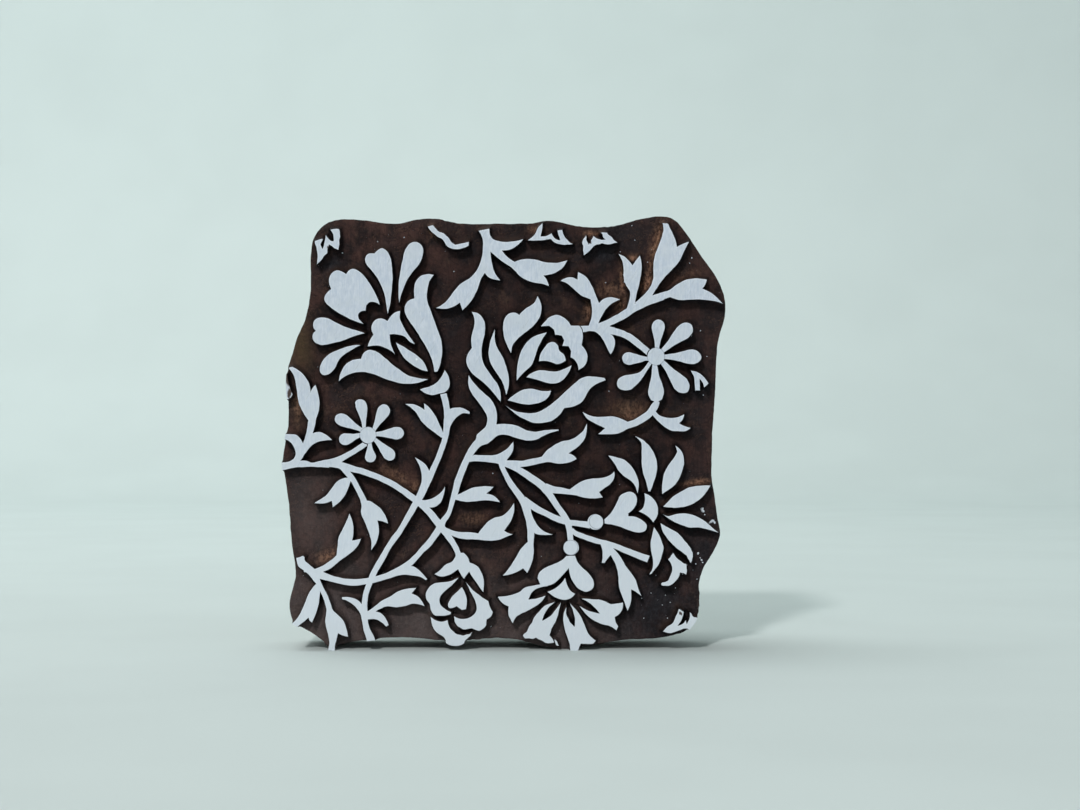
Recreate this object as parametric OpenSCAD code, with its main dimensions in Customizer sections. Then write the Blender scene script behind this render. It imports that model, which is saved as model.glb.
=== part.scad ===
// Wooden hand-printing block with a floral trail.
// Millimetres. The block stands upright as it is stored: x runs right, z runs up,
// and the carved face looks towards minus y. The origin is the middle of the box's foot.

/* [Block] */
// Width of the block over its widest points
face_w = 127;           // [100:0.5:160]
// Thickness from the printing face to the back
block_t = 30;           // [24:0.5:50]

/* [Carving] */
// Depth from the top of the lands down to the carved ground
relief_depth = 4;       // [2.5:0.1:6]
// Thickness of the chalk-white coat left on the lands
coat_t = 0.3;           // [0.2:0.05:0.5]
// Wood the knife leaves outside each drawn line
knife_margin = 0.02;    // [0.01:0.01:0.06]
// Width of the finest knife cuts, between a flower and its stem
hair_cut = 0.3;         // [0.2:0.05:0.6]
// How far outside its drawn line the outline of the block is sawn
saw_margin = 0.35;      // [0:0.05:1]
// Longest straight step along the outline of a petal or leaf
curve_step = 1.6;       // [1.2:0.1:3]
// Longest straight step along a stem
stem_step = 2.4;        // [1.5:0.1:4]

/* [Handle] */
// Length of the handle bar
handle_len = 92;        // [70:1:104]
// Height of the bar, across the grip
handle_h = 28;          // [24:0.5:36]
// How far the bar stands out from the back of the block
handle_t = 26;          // [22:0.5:36]
// Rounding of the bar's four upright corners
handle_end_r = 9;       // [4:0.5:11]
// Rounding of the two long edges that the palm rests on
palm_r = 6;             // [3:0.5:9]
// Height of the middle of the bar above the foot of the block
handle_z = 63;          // [50:0.5:76]
// Radius of the finger groove along each side of the bar
groove_r = 9;           // [7:0.5:12]
// Depth of the finger grooves
groove_depth = 3;       // [1:0.25:4.5]
// Distance from the back of the block to the middle of a groove
groove_y = 11;          // [9.5:0.5:12]

/* [Screws] */
// Distance between the two handle screws
screw_pitch = 58;       // [40:1:64]
// Shank diameter of a screw
screw_d = 4.2;          // [3.5:0.1:5]
// Head diameter of a screw
head_d = 8.4;           // [7.4:0.1:10]
// How far the heads lie below the surface of the handle
head_sink = 0.3;        // [0:0.1:1]
// Length of screw that bites into the block
screw_bite = 13;        // [8:0.5:15]
// Length of the pointed end of a screw
point_len = 4;          // [3:0.5:6]
// Width of the slot in a head
slot_w = 1;             // [0.7:0.1:1.4]
// Depth of the slot in a head
slot_depth = 1.1;       // [0.6:0.1:1.4]
// Clearance around a shank in the handle, on the diameter
shank_clearance = 0.4;  // [0.2:0.1:0.8]
// Clearance around the thread in the block, on the diameter
pilot_clearance = 0.1;  // [0.05:0.05:0.2]
// Clearance around a head in its countersink, on the diameter
sink_clearance = 0.2;   // [0.1:0.1:0.4]
// Depth left empty under the point of a screw
pilot_spare = 1;        // [0.5:0.5:3]

/* [Hidden] */
// The pattern is drawn in units, this many across the face, and its middle lies this far to the left
units_across = 126.5;
units_off = 0.05;
draw_scale = (face_w - 2 * saw_margin) / units_across;
y_front = -(block_t + handle_t) / 2;
y_back = y_front + block_t;
y_end = y_back + handle_t;
// Free room that cutting bodies run past a surface
past = 1;
fine = 24;
wood = [0.27, 0.2, 0.16];
bar_wood = [0.42, 0.27, 0.16];
chalk = [0.86, 0.89, 0.92];
steel = [0.62, 0.61, 0.58];

// Curves

// A corner of an outline; a plain [x, z] is a point that the curve runs smoothly through
function k(x, z) = [x, z, 1];
function is_corner(p) = len(p) > 2;
function place(p) = draw_scale * [p[0] + units_off, p[1]];
function unit(v) = norm(v) < 0.0001 ? [0, 0] : v / norm(v);
// Direction of the curve at b between its neighbours, led by the nearer one
function lean(a, b, c) = unit(unit(b - a) * norm(c - b) + unit(c - b) * norm(b - a));
function run(b, c, lead, tail) = lead == [0, 0] ? (tail == [0, 0] ? c - b : 1.5 * (c - b) - 0.5 * tail) : lead;
function blend(b, c, m, n, t) =
    (2 * t * t * t - 3 * t * t + 1) * b + (t * t * t - 2 * t * t + t) * m
    + (3 * t * t - 2 * t * t * t) * c + (t * t * t - t * t) * n;
// Points from b up to but without c
function span(a, b, c, d, sharp_b, sharp_c, step) =
    let (l = norm(c - b))
    let (lead = sharp_b ? [0, 0] : lean(a, b, c) * l)
    let (tail = sharp_c ? [0, 0] : lean(b, c, d) * l)
    let (m = run(b, c, lead, tail))
    let (n = run(b, c, tail, lead))
    let (parts = sharp_b && sharp_c ? 1 : max(1, round(l / step)))
    [for (i = [0 : parts - 1]) blend(b, c, m, n, i / parts)];
function outline(p) =
    let (n = len(p))
    [for (i = [0 : n - 1])
        let (a = p[(i + n - 1) % n], b = p[i], c = p[(i + 1) % n], d = p[(i + 2) % n])
        each span(place(a), place(b), place(c), place(d), is_corner(b), is_corner(c), curve_step)];
// A stem runs through [x, z, width] points
function stem_parts(p, i) = max(1, round(norm(place(p[i + 1]) - place(p[i])) / stem_step));
function stem_line(p) =
    let (n = len(p) - 1)
    [for (i = [0 : n - 1])
        let (a = place(p[max(i - 1, 0)]), b = place(p[i]), c = place(p[i + 1]), d = place(p[min(i + 2, n)]))
        each span(a, b, c, d, i == 0, i == n - 1, norm(c - b) / stem_parts(p, i)), place(p[n])];
function stem_widths(p) =
    let (n = len(p) - 1)
    [for (i = [0 : n - 1])
        let (parts = n == 1 ? 1 : stem_parts(p, i))
        for (j = [0 : parts - 1]) draw_scale * (p[i][2] + (p[i + 1][2] - p[i][2]) * j / parts),
        draw_scale * p[n][2]];
function side(line, widths, sign) =
    let (n = len(line) - 1)
    [for (i = [0 : n])
        let (way = unit(line[min(i + 1, n)] - line[max(i - 1, 0)]))
        line[i] + sign * widths[i] / 2 * [-way[1], way[0]]];
function back_to_front(list) = [for (i = [len(list) - 1 : -1 : 0]) list[i]];

// Motifs of the pattern

// A leaf, petal or patch: a closed outline
module land(points) {
    polygon(outline(points));
}

module stem(points) {
    line = stem_line(points);
    widths = stem_widths(points);
    polygon(concat(side(line, widths, 1), back_to_front(side(line, widths, -1))));
}

// A daisy petal: narrow at the base a, round at the end b, w wide
module drop(a, b, w) {
    along = b - a;
    across = w * unit([-along[1], along[0]]);
    function at(s, t) = a + s * along + t * across;
    side = [[0.3, 0.25], [0.55, 0.41], [0.76, 0.5], [0.93, 0.35]];
    base = [at(0, 0.14), at(0, -0.14)];
    land(concat(
        [k(base[0][0], base[0][1])],
        [for (p = side) at(p[0], p[1])],
        [b],
        [for (i = [len(side) - 1 : -1 : 0]) at(side[i][0], -side[i][1])],
        [k(base[1][0], base[1][1])]
    ));
}

// A daisy: a centre c of radius r, and petals given by the [x, z] of their base and end, and their width
module daisy(c, r, petals) {
    ball(c, r);
    for (p = petals) drop(p[0], p[1], p[2]);
}

module ball(c, r) {
    translate(place(c)) circle(r = r * draw_scale, $fn = fine);
}

module tulip_art() {
    // Big lobed petal
    land([
        k(-45.2, 107.5), [-47.5, 108.6], [-49.6, 107.4], [-50.1, 105.6], k(-49.4, 103.2), [-51.2, 101.4],
        [-51.3, 100.1], [-49.5, 98], [-47, 96.3], [-44.3, 94.8], k(-40.3, 93.4), [-41.6, 94.7], [-41.7, 96.2],
        [-40.9, 97], k(-39.7, 97.2), [-39.4, 98.7], [-38.3, 99.6], [-37, 99.5], k(-35.6, 98.8), [-36.3, 100.8],
        [-37.6, 103.4], [-39.3, 106.1], [-41.3, 108.2], [-43, 109], [-44.4, 108.5]
    ]);
    // Upper petal
    land([
        [-39.7, 112], [-39.1, 113.1], [-38, 113.4], k(-37.1, 113.3), [-36.2, 114.3], [-35, 114.9], [-33.7, 114.2],
        [-32.6, 112.4], [-32.1, 109.5], [-32, 105], [-32.4, 100.5], k(-33.3, 96.3), [-33.7, 99], [-34.5, 102.5],
        [-36, 106], [-38, 108.8], [-39.4, 110.6]
    ]);
    // Petal with a round end
    land([
        k(-30, 99.6), [-30.2, 103], [-29.8, 107.5], [-28.9, 112], [-28, 115], [-26.8, 116.3], [-25.2, 116.7],
        [-23.8, 115.8], [-23.2, 114.2], [-23.5, 112.3], [-24.7, 110], [-26.5, 107.8], [-28.2, 105], [-29.3, 102.2]
    ]);
    // Long petal with a hooked end
    land([
        k(-20.2, 107.3), [-22.2, 107.5], [-23.8, 107], [-25.1, 105.6], [-25.7, 103], k(-25.6, 100.6), [-27.2, 100],
        [-28.2, 98.8], [-28.4, 97], [-27.3, 94.5], [-25.5, 91.8], [-23.6, 88.9], [-21.9, 86], [-20.7, 83.2],
        [-20.2, 81.3], k(-19.9, 79.6), k(-19.2, 79.7), [-18.3, 81.8], [-17.8, 84.3], [-17.8, 87], [-18.3, 89.4],
        [-19.3, 92.2], [-20.4, 95.3], [-21.4, 98], [-22.1, 100.8], [-21.9, 103.5], [-21.3, 105.8]
    ]);
    // Petal with a heart-shaped end
    land([
        k(-53.8, 91.4), [-54.5, 92.4], [-54.5, 93.8], [-53.7, 94.8], [-52.3, 95.1], [-50.5, 94.9], [-48.5, 93.8],
        [-46, 92.7], [-43, 91.7], k(-39.9, 90.7), [-43, 89.8], [-46.5, 88.5], [-50, 87.6], [-52.3, 87.3],
        [-54, 88], [-54.8, 89.3], [-54.6, 90.6]
    ]);
    // Long lower petal
    land([
        [-52.6, 79.6], [-52.6, 81.1], [-51.8, 82.9], [-50.2, 84.5], [-48, 85.6], [-45.5, 86.6], [-43, 87.2],
        k(-41.2, 87.2), [-43.3, 86.2], [-45.6, 84.7], [-47.3, 83], [-48.3, 81], [-49.2, 79.8], [-50.2, 78.9],
        k(-51.9, 78.8)
    ]);
    // Heart of the flower
    land([
        k(-37.3, 90.3), [-37.9, 91.8], [-37.6, 93.4], [-36.6, 94.6], [-35.2, 94.9], k(-33.4, 94.1), [-32.3, 95.6],
        [-31.1, 96.6], k(-29.8, 97), [-29.9, 95.1], [-29, 92.9], [-27.5, 90.3], k(-25.6, 87.6), [-26.9, 88.2],
        [-28.6, 89.8], [-30.8, 90.4], k(-32.8, 90.3), [-32.5, 87.5], k(-31.3, 84.8), [-33, 86], [-35, 86.9],
        [-37, 86.9], k(-39, 86.9), [-38.4, 88.6]
    ]);
    // Almond beside the heart
    land([
        k(-31, 88), [-29, 86.9], [-26.6, 85.4], [-24.4, 83.8], [-23, 82.4], k(-21.9, 79.8), [-24, 80.4],
        [-26.3, 81.7], [-28.5, 83.5], [-30, 85.8]
    ]);
    // Band petal along the bottom
    land([
        k(-40.9, 83.3), [-40.2, 84.9], [-38.7, 85.8], [-36.8, 85.5], [-34.6, 84], [-32.3, 82], [-30, 80.2],
        [-27.3, 78.5], [-24.8, 77.8], k(-21.9, 77.5), [-24.3, 76.6], [-27.5, 76.2], [-31, 76.7], [-34, 77.6],
        [-37, 78.8], [-40, 79.6], [-43, 79.4], [-45.4, 78.4], k(-47.2, 77.1), [-46.8, 79], [-45.9, 81], [-44.2, 82.5]
    ]);
    // Calyx
    land([
        k(-17, 80.1), [-16.2, 78.7], [-15.7, 77], [-15.8, 75.2], k(-16.6, 74.1), [-18.4, 73.4], [-20.5, 73],
        [-22.5, 73.5], k(-24, 74.6), [-22, 75.2], [-20, 76], [-18.4, 77.5]
    ]);
}

module rose_art() {
    // Outer sepal
    land([
        k(-9.2, 96.7), [-7.3, 96.1], [-6, 94.6], [-5.5, 92.3], [-5.8, 89.7], [-6.4, 87], [-6.4, 84], [-5.7, 81.5],
        [-4.2, 79.2], [-2.5, 76.9], [-1.2, 74.3], k(-1.1, 71.2), [-2.2, 72.6], [-4, 74.7], [-6.2, 76.8],
        [-8.3, 78.4], [-10, 80.3], [-10.9, 82.8], [-10.3, 84.9], k(-9.2, 86.4), [-9.4, 89.3], [-8.6, 92.4],
        [-8.5, 94.5]
    ]);
    // Inner sepal
    land([
        k(-2.7, 91.6), [-3.8, 88.9], [-4.4, 86.3], [-4.4, 83.8], [-3.5, 81.4], [-2, 79.2], [-0.6, 76.8],
        k(0.6, 73.1), [1.2, 75.5], [1.2, 78.3], [0.6, 81], [-0.5, 83.8], [-1.8, 86], [-2.6, 88.4]
    ]);
    // Big petal with a notched top
    land([
        k(4.3, 95.8), [3, 96.5], [1.5, 96.3], [0.2, 95], [-0.3, 93], [-0.1, 90.3], [0.7, 87.5], k(1.9, 85),
        [2.5, 87.3], [4, 89.3], [6.3, 91.2], [8.5, 93.1], [10.2, 95.6], [10.7, 98], k(9.5, 101.2), [8.6, 99.3],
        [6.5, 97.9], [5, 96.6]
    ]);
    // Scalloped petal
    land([
        k(10.6, 92.6), [12, 94], [13.5, 95.5], [15.2, 95.9], [17, 95.1], k(19, 92.8), k(21.4, 92.8), [22.2, 91.4],
        [22.4, 89.4], k(22.1, 87.2), [23.4, 85.5], [23.8, 83.6], [23.1, 81.6], k(21.2, 80.2), [21, 81.6],
        [20.2, 83], k(18.9, 83.8), [19.2, 85.4], [18.4, 86.9], k(16.6, 87.1), [17.2, 88.6], [16.5, 89.9],
        k(14.6, 90.3), [14.2, 91.8], [12.8, 92.8]
    ]);
    // Long bent petal
    land([
        k(3.6, 77.2), [3.7, 80.5], [4.2, 83.7], [5.3, 86.3], [7.2, 88.8], [9.5, 90.1], k(12.1, 90.8), [10.8, 88.9],
        [9.6, 86.4], [8.8, 83.9], [7.8, 81.6], [5.8, 79.7]
    ]);
    // Heart of the flower
    land([
        k(10, 82.7), [10.3, 84.5], [11.5, 86.5], [12.9, 87.9], [14.2, 88.1], [15.2, 87.3], k(15.7, 85.6),
        [16.9, 84.6], k(17.5, 82.9), [16.2, 82.1], [14.9, 81.9], k(13.8, 82.3), [12, 82.8]
    ]);
    // Crescent under the heart
    land([
        k(6.4, 78), [8.3, 79.5], [10.5, 80.1], [13, 79.8], [15.3, 79.8], [17.2, 80.5], k(19.1, 81.5), [18.2, 79.2],
        [16.8, 77.4], [14.7, 76.4], [12.3, 76.5], [9.8, 77.3]
    ]);
    // Lower crescent
    land([
        k(1, 71.5), [3.3, 73.4], [5.7, 74.6], [8.3, 74.7], [10.8, 74.1], k(13.4, 74.2), [12.5, 72.4], [10.7, 71.1],
        [8.3, 70.4], [5.5, 70.4], [3.2, 70.9]
    ]);
    // Sweeping petal along the bottom
    land([
        k(0.6, 69.8), [2.5, 68.6], [5.5, 67.9], [8.3, 67.8], [11, 68.7], [13.7, 70.5], [16.5, 73], [19.2, 75.5],
        [21.6, 77.5], [24, 78.3], [26.4, 78.2], k(28.7, 77.8), k(28.9, 77.3), [26.8, 76.4], [24.8, 75.1],
        [23.5, 73.3], [22.3, 71.2], [20.3, 70], k(17.1, 69.3), [15.8, 67.4], [13.8, 65.9], [11.3, 65.1],
        [8.5, 65.1], [5.8, 66.1], [3, 67.8]
    ]);
}

module right_daisy_art() {
    daisy([43.4, 84], 2.5, [
        [[43.6, 86.1], [44.2, 94.5], 3.6], [[45.2, 85.6], [53.4, 93.1], 4.3], [[45.6, 83.95], [56.3, 83.9], 4.1],
        [[45.1, 82.6], [52.3, 73.9], 4.3], [[43, 82], [43.5, 70.9], 4.4], [[41.2, 83.2], [33.7, 83.5], 3.6]
    ]);
    // Its bent petal
    land([
        k(41.3, 82.6), [40.1, 80.8], [38.5, 79.4], [36.2, 78.8], [34.2, 78.5], [32.8, 77.7], [32.3, 76.4],
        [32.7, 75.1], [34, 74.4], [35.8, 74.5], [37.3, 75.5], [38.8, 77.1], [40.3, 79.3], k(42.1, 82)
    ]);
    // Stem with a pair of forked leaves
    stem([
        [43.8, 71.3, 1.3], [43, 69.9, 1.9], [41.9, 68.1, 1.9], [39.8, 66.4, 1.9], [37.4, 65.1, 1.9], [34.5, 64, 1.9]
    ]);
    land([
        k(35.4, 65.2), [33.2, 66.3], [30.8, 66.9], [28, 66.8], [25.2, 66.9], k(22.5, 68.1), [23.8, 66.2], [25.8, 65],
        k(28.9, 63.5), [28, 62.8], k(27, 61.9), [29.5, 61.8], [32, 61.9], [34, 62.6], k(36, 63.9)
    ]);
    land([
        k(42, 67.8), k(43.2, 68.3), [44, 67.4], [45.5, 66.7], [47.5, 66.4], [49.6, 66.7], k(51.4, 67.4), [51, 66.1],
        k(50, 64.9), [51.4, 64.1], k(53.3, 63.6), [52.3, 62.9], [50, 62.7], [48, 62.8], [46, 63.8], [44.2, 65.3],
        k(42.6, 67)
    ]);
}

module left_daisy_art() {
    daisy([-38.9, 61.5], 2.35, [
        [[-40.4, 62.8], [-48.3, 66.9], 3.4], [[-37.3, 62.9], [-33.6, 70.1], 3.5], [[-37, 61.8], [-28.7, 62.2], 3.5],
        [[-37.1, 60.5], [-31.6, 54.7], 3.3], [[-38.4, 59.5], [-38.2, 53.8], 3], [[-40.9, 61.6], [-47.1, 59.9], 3.4]
    ]);
    // Its petal with a blunt end
    land([
        k(-40.5, 63), [-40.8, 65.2], [-41.3, 66.7], [-41.9, 68.1], [-42.4, 69.6], [-42.6, 70.8], [-42.2, 71.5],
        [-41.2, 71.8], [-40.1, 71.4], [-39.5, 70.5], [-39.2, 69.1], [-39.3, 67.5], [-39.5, 65.8], k(-39.6, 63.2)
    ]);
}

module pointed_flower_art() {
    // Petals, from the upper left and on round clockwise
    land([
        k(29.8, 55.6), [32, 55.2], [34.5, 54.3], [36.5, 52.4], [37.8, 50], [38.4, 47.6], k(38.1, 45), [37.5, 46.8],
        [36.3, 48.4], [34.3, 49.8], [32.6, 51.6], [31.4, 53.6]
    ]);
    land([
        k(37.5, 61.2), [39.9, 59.9], [42, 57.7], [43.2, 55.3], [43.7, 52.4], [43.3, 49.7], [42.6, 47.7],
        k(41.7, 45.5), k(41.2, 45.5), [40.7, 47.7], [39.8, 50.6], [39.3, 53.5], [39.3, 56.5], [39.2, 59.1]
    ]);
    land([
        k(49, 58.5), [50.5, 57.1], [51.3, 54.8], [51.1, 52.4], [50.3, 49.9], [48.8, 47.5], [46.8, 45.8],
        k(45.1, 44.8), [45.2, 47.6], [45.7, 50.3], [46.8, 52.7], [48.4, 54.9], [49.5, 56.8]
    ]);
    land([
        k(45.5, 41.1), [47.5, 43.2], [50, 45.1], [52.8, 46.5], [55.7, 47], k(58.9, 47.1), [57.4, 44.8], [55.2, 42.8],
        [52.3, 41.3], [49, 40.8], [47.2, 40.9]
    ]);
    land([
        k(45.6, 38.9), [46.8, 38.4], [49.2, 38.9], [52, 39.1], [55, 38.3], [57.5, 36.8], [59.3, 35.2],
        k(61.1, 33.7), [58.7, 34.5], [56.2, 35.1], [53, 35.2], [50.2, 36], [47.8, 37.2]
    ]);
    land([
        k(44.7, 36.3), [47.2, 34.9], [49.8, 33.3], [51.9, 30.9], [53.4, 28.5], [53.8, 26.8], k(53.4, 25),
        [52.2, 26.7], [50.2, 28.5], [48, 30.4], [46.2, 32.7], [45.1, 34.5]
    ]);
    land([
        k(42.8, 35.1), [44, 33.2], [44.9, 31.3], [45.5, 29.2], [45, 27], [43.8, 24.1], k(41.8, 22), [42.5, 24],
        [42.5, 26], [42, 28.6], [41.9, 31], [42.4, 33.4]
    ]);
    // Half disc in the middle
    land([
        k(40.1, 44.9), [41.6, 44.2], [43, 42.8], [43.8, 40.9], [43.8, 38.8], k(42.5, 36.6), [41.1, 38.3],
        k(38.5, 39.7), [39.7, 40.8], [40.2, 42.6]
    ]);
    // Heart-shaped calyx
    land([
        k(28.6, 37.4), [30.6, 39.4], [31.9, 41.7], k(33, 44.1), [34.3, 45], [36, 45.3], [37.5, 44.4], [37.9, 42.9],
        [37.1, 40.8], k(35.3, 39.2), k(35.4, 38.4), [37.7, 38.1], [39.6, 37.1], [40.7, 35.6], [40.3, 34.2],
        [38.7, 33.7], [36.3, 34.1], [33.8, 35.1], [31.3, 35.9], k(28.7, 36.3)
    ]);
}

module bottom_flower_art() {
    // Calyx with two lobes and the split petal that grows from the left one
    land([
        k(17.8, 27), [16.3, 25.7], [14, 24.6], [11.7, 23.6], [9.9, 22], [9.5, 20.6], k(10.4, 18.8), k(12.3, 18.6),
        [14.3, 19.3], [16.4, 21.2], k(18.4, 23.7), [18.9, 21.4], [20.1, 19], [21.7, 17.4], [23.6, 16.8],
        [25.3, 17.8], [25.5, 19.7], [24.4, 21.6], [22.5, 23.4], [20.9, 25.2], k(20.2, 27)
    ]);
    land([
        k(12, 18.9), k(10.4, 18.9), [8, 18.4], [6, 18], [4.2, 16.6], [1.5, 15.7], k(-1.7, 15.3), [-0.9, 14],
        k(1.3, 12.5), [1.2, 10.4], k(2.4, 7.7), [3.6, 9.7], [6, 11], [8.7, 12.5], [10.6, 14], k(11.8, 15.6),
        [9.5, 14.9], k(6.8, 14.5), [7.6, 16.2], [9.2, 17.6], k(12.4, 18.5)
    ]);
    // Fan in the middle
    land([
        k(17.5, 20.7), [17.9, 18.8], [18.9, 17.1], k(20.2, 16.1), [18.8, 14.9], [16.8, 14.5], [14.7, 15.2],
        k(12.4, 16.8), [14.3, 17.6], [16.2, 19]
    ]);
    // Split petals, left to right
    land([
        k(14.3, 13.8), [12, 12.9], [10, 11.2], [8.5, 9.4], [7.4, 7], [6.4, 5.5], k(5.2, 4.4), [5.9, 3.5],
        [7.6, 3.4], [9.2, 3.7], [10.7, 2.8], [12.3, 2.1], k(14.2, 2.2), [13.9, 3.1], [13, 4.4], [13.5, 6],
        [14.7, 8.3], [15.5, 10.8], k(16.1, 13.5), [14.6, 11.4], [12.8, 9.5], k(10.7, 8.3), [11.5, 10.4],
        [12.8, 12.4]
    ]);
    land([
        k(17.7, 12.2), [17.8, 10.2], [18.6, 8.4], k(20, 6.6), [20.2, 8.6], [19.8, 11], k(18.9, 13.3), [20.4, 11.7],
        [22, 9.5], [23.1, 6.9], [24.1, 4.7], k(26.1, 2.8), [25.3, 2], [23.6, 1.9], k(21.9, 2), [21.3, 0.8],
        k(20.6, -0.6), k(18.8, -0.6), [18.7, 1.7], [17.7, 4.5], [17, 7.4], [16.9, 10]
    ]);
    land([
        k(22.2, 14.8), [25, 14.6], [27.8, 14.3], k(30.3, 13.3), [32, 13.4], k(33.9, 13.6), [33.9, 12.2],
        [33.1, 10.7], k(31.5, 9.5), [31.8, 8.2], k(32.6, 6.9), k(32.1, 5.8), [30.5, 6.9], [27.9, 7.6], [25.4, 8.8],
        [23.3, 10.5], k(21.6, 12.6), [24.1, 11.3], k(27.4, 10.5), [25.9, 12.3], [24, 13.8]
    ]);
}

module bud_art() {
    // Left petal
    land([
        k(-13.2, 20.7), [-15.2, 19.9], [-17.6, 19.5], [-19.9, 19.1], [-21.5, 18], [-22.3, 16.3], [-22.2, 14.6],
        k(-21.3, 13.4), [-21, 11.7], [-20, 10.2], [-18, 9.9], k(-15.4, 10.4), k(-15.3, 11), [-17, 11.9],
        [-18.4, 13.3], [-18.4, 15.1], [-17, 17], [-14.8, 18.9]
    ]);
    // Heart in the middle
    land([
        k(-12.2, 18.1), [-11.2, 16.3], [-10.7, 14], k(-11, 11.8), [-12.1, 11.6], k(-13.7, 12.7), [-14.7, 12.2],
        k(-15.8, 12.3), [-16.1, 13.5], [-15, 15.2], [-13.2, 17]
    ]);
    // Right petal
    land([
        k(-10.9, 19.4), [-9.2, 17.4], [-7.1, 15.7], k(-4.6, 14), [-4.1, 12.3], [-3.4, 11], [-3.7, 9.9], k(-5, 8.9),
        [-5.1, 7.2], [-6.3, 6], [-8, 5.8], k(-9.5, 6.4), [-11.3, 6], [-12.8, 6.5], [-13.9, 7.8], k(-14.4, 9.7),
        [-12.7, 9], [-10.6, 9], [-8.8, 10.1], [-7.9, 11.8], [-8.2, 13.9], [-9.4, 16.4]
    ]);
    // Lower petal, cut off by the edge
    land([
        k(-21, 9.6), [-19.8, 8.7], [-18.2, 8.2], k(-16.2, 8.6), [-15.8, 7], [-14.5, 5.2], [-12.5, 4.3],
        k(-9.2, 5.2), [-10.2, 3.8], k(-11.5, 2.3), k(-12, 0.5), k(-16.5, 0.5), k(-16.6, 2.6), [-17.5, 4],
        [-19.4, 5.3], [-20.5, 7.1]
    ]);
}

module top_branch_art() {
    land([
        k(-7.3, 119.9), k(-4.3, 120.5), [-4.2, 119], [-3.3, 117.6], [-1.2, 116.9], [2, 116.8], k(5.3, 117.5),
        [3.6, 115.7], [1.6, 114.6], k(-0.8, 114.3), [0.8, 112.5], k(3, 111), [5, 111.7], [8, 111.8], [11, 111.1],
        [14.5, 110.7], k(18, 111.4), [16.5, 109.2], [14, 107.8], k(11.1, 107.2), [12.1, 106], k(12.7, 104.2),
        [10.5, 104.9], [7.5, 105.4], [4.5, 107], [1.8, 109.7], [-0.8, 111.4], k(-4, 114.1), [-3.5, 110.5],
        [-2.5, 107.5], k(-1.2, 105.8), [-3.2, 106.1], [-4.7, 106.9], k(-5.5, 108), [-6.8, 105.9], [-7.5, 103.6],
        [-8.8, 100.9], [-10.2, 99], k(-11.9, 97.3), k(-12.6, 99.4), [-14.5, 98.3], [-16.8, 97.7], k(-19.4, 97.8),
        [-16.5, 99.8], [-14.5, 102.4], [-12.5, 104.7], [-10, 106.3], [-7.7, 108.8], [-6.6, 111.5], [-6.1, 114.5],
        [-6.2, 117.8]
    ]);
}

module right_branch_art() {
    // Forked leaf and hook on the upright stalk
    land([
        k(16.2, 105.7), [17.8, 106.5], [19.4, 106.6], k(21, 106), k(21.1, 108), [23.3, 106.8], [24.9, 104.4],
        [26.2, 101.4], k(27.1, 99.3), [28.3, 100.4], [30.3, 101], k(33, 100.3), [30.8, 99.2], [29, 97.5], [27.7, 95.4],
        k(26.7, 93.3), k(25.4, 92), k(24.1, 92.7), [24.9, 95], [25.1, 97.5], k(24.7, 100.4), [22.3, 101.3],
        [20.2, 103], [18.2, 104.8]
    ]);
    // Knot where the stems part
    land([
        k(20.8, 92.7), k(24.1, 92.7), k(26.7, 93.4), k(30.5, 95), k(30.8, 93.4), k(30, 92.6), k(31.5, 92.2),
        k(31.2, 90.6), k(28.7, 91.1), k(26.3, 90.9), k(21.8, 90.9)
    ]);
    // Leaf that hangs from it
    land([
        k(26, 91.4), k(28.7, 91.1), k(30.9, 90.1), [31.5, 88.9], [31.5, 87], k(30.3, 84.7), [29.5, 86.3],
        [28.3, 88.7], [27.2, 90.2], k(26.3, 90.9)
    ]);
    stem([
        [28.5, 93, 1.8], [31, 94.2, 2], [34, 95.8, 2.1], [37, 97.7, 2.1], [40, 99.3, 2.2], [43, 100.5, 2.3],
        [45.4, 101.1, 1.9]
    ]);
    stem([
        [28, 91.8, 1.5], [30, 91.4, 1.8], [33, 90.8, 1.8], [35.3, 89.8, 1.8], [37.3, 88.4, 1.8], [39.2, 86.9, 1.8],
        [41.5, 84.9, 1.8]
    ]);
    // Narrow leaf with two prongs
    land([
        k(32.8, 113.3), [33.8, 111.3], [34.2, 109], [34.2, 106.5], [34.9, 104.2], [35.9, 102.6], [35.8, 100.5],
        k(35, 97.6), k(36.3, 96.9), k(37.3, 99.3), [37.8, 102], [38.6, 104.8], [39.1, 107.8], [39.2, 110.3],
        k(38.7, 112.8), [37.6, 111.4], k(36.7, 110), [35.9, 111], [34.8, 112.2]
    ]);
    // Big leaf at the corner
    land([
        k(45.2, 122.1), k(46.6, 122), [47.9, 119.6], [49, 117], k(49.3, 115.2), [50.8, 116], k(52.7, 116.7),
        [51.2, 113.8], [49.8, 111], [48, 108.9], [46, 106.9], [44.4, 104.8], k(42.2, 101.4), k(39, 98.8),
        k(37.3, 99.3), [39.5, 101.2], [41.6, 103.7], [42.6, 106], [42.7, 108.5], [42.8, 111.3], [43.6, 114.3],
        [44.8, 117.5], [45.4, 119.9]
    ]);
    // Leaf along the right-hand edge
    land([
        k(42.2, 101.4), [45, 102.3], [47.3, 103], [49.2, 104.4], [51.5, 105.7], [54.5, 106.3], k(57.9, 105.9),
        [57.4, 104.6], k(56.5, 103.4), [58.7, 102.4], [60.5, 101], k(62.3, 99.1), [60.3, 99.8], [57.5, 100.2],
        [53.5, 100.3], [50, 100.2], k(47.3, 101), k(45, 100.1), k(41, 99)
    ]);
}

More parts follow.
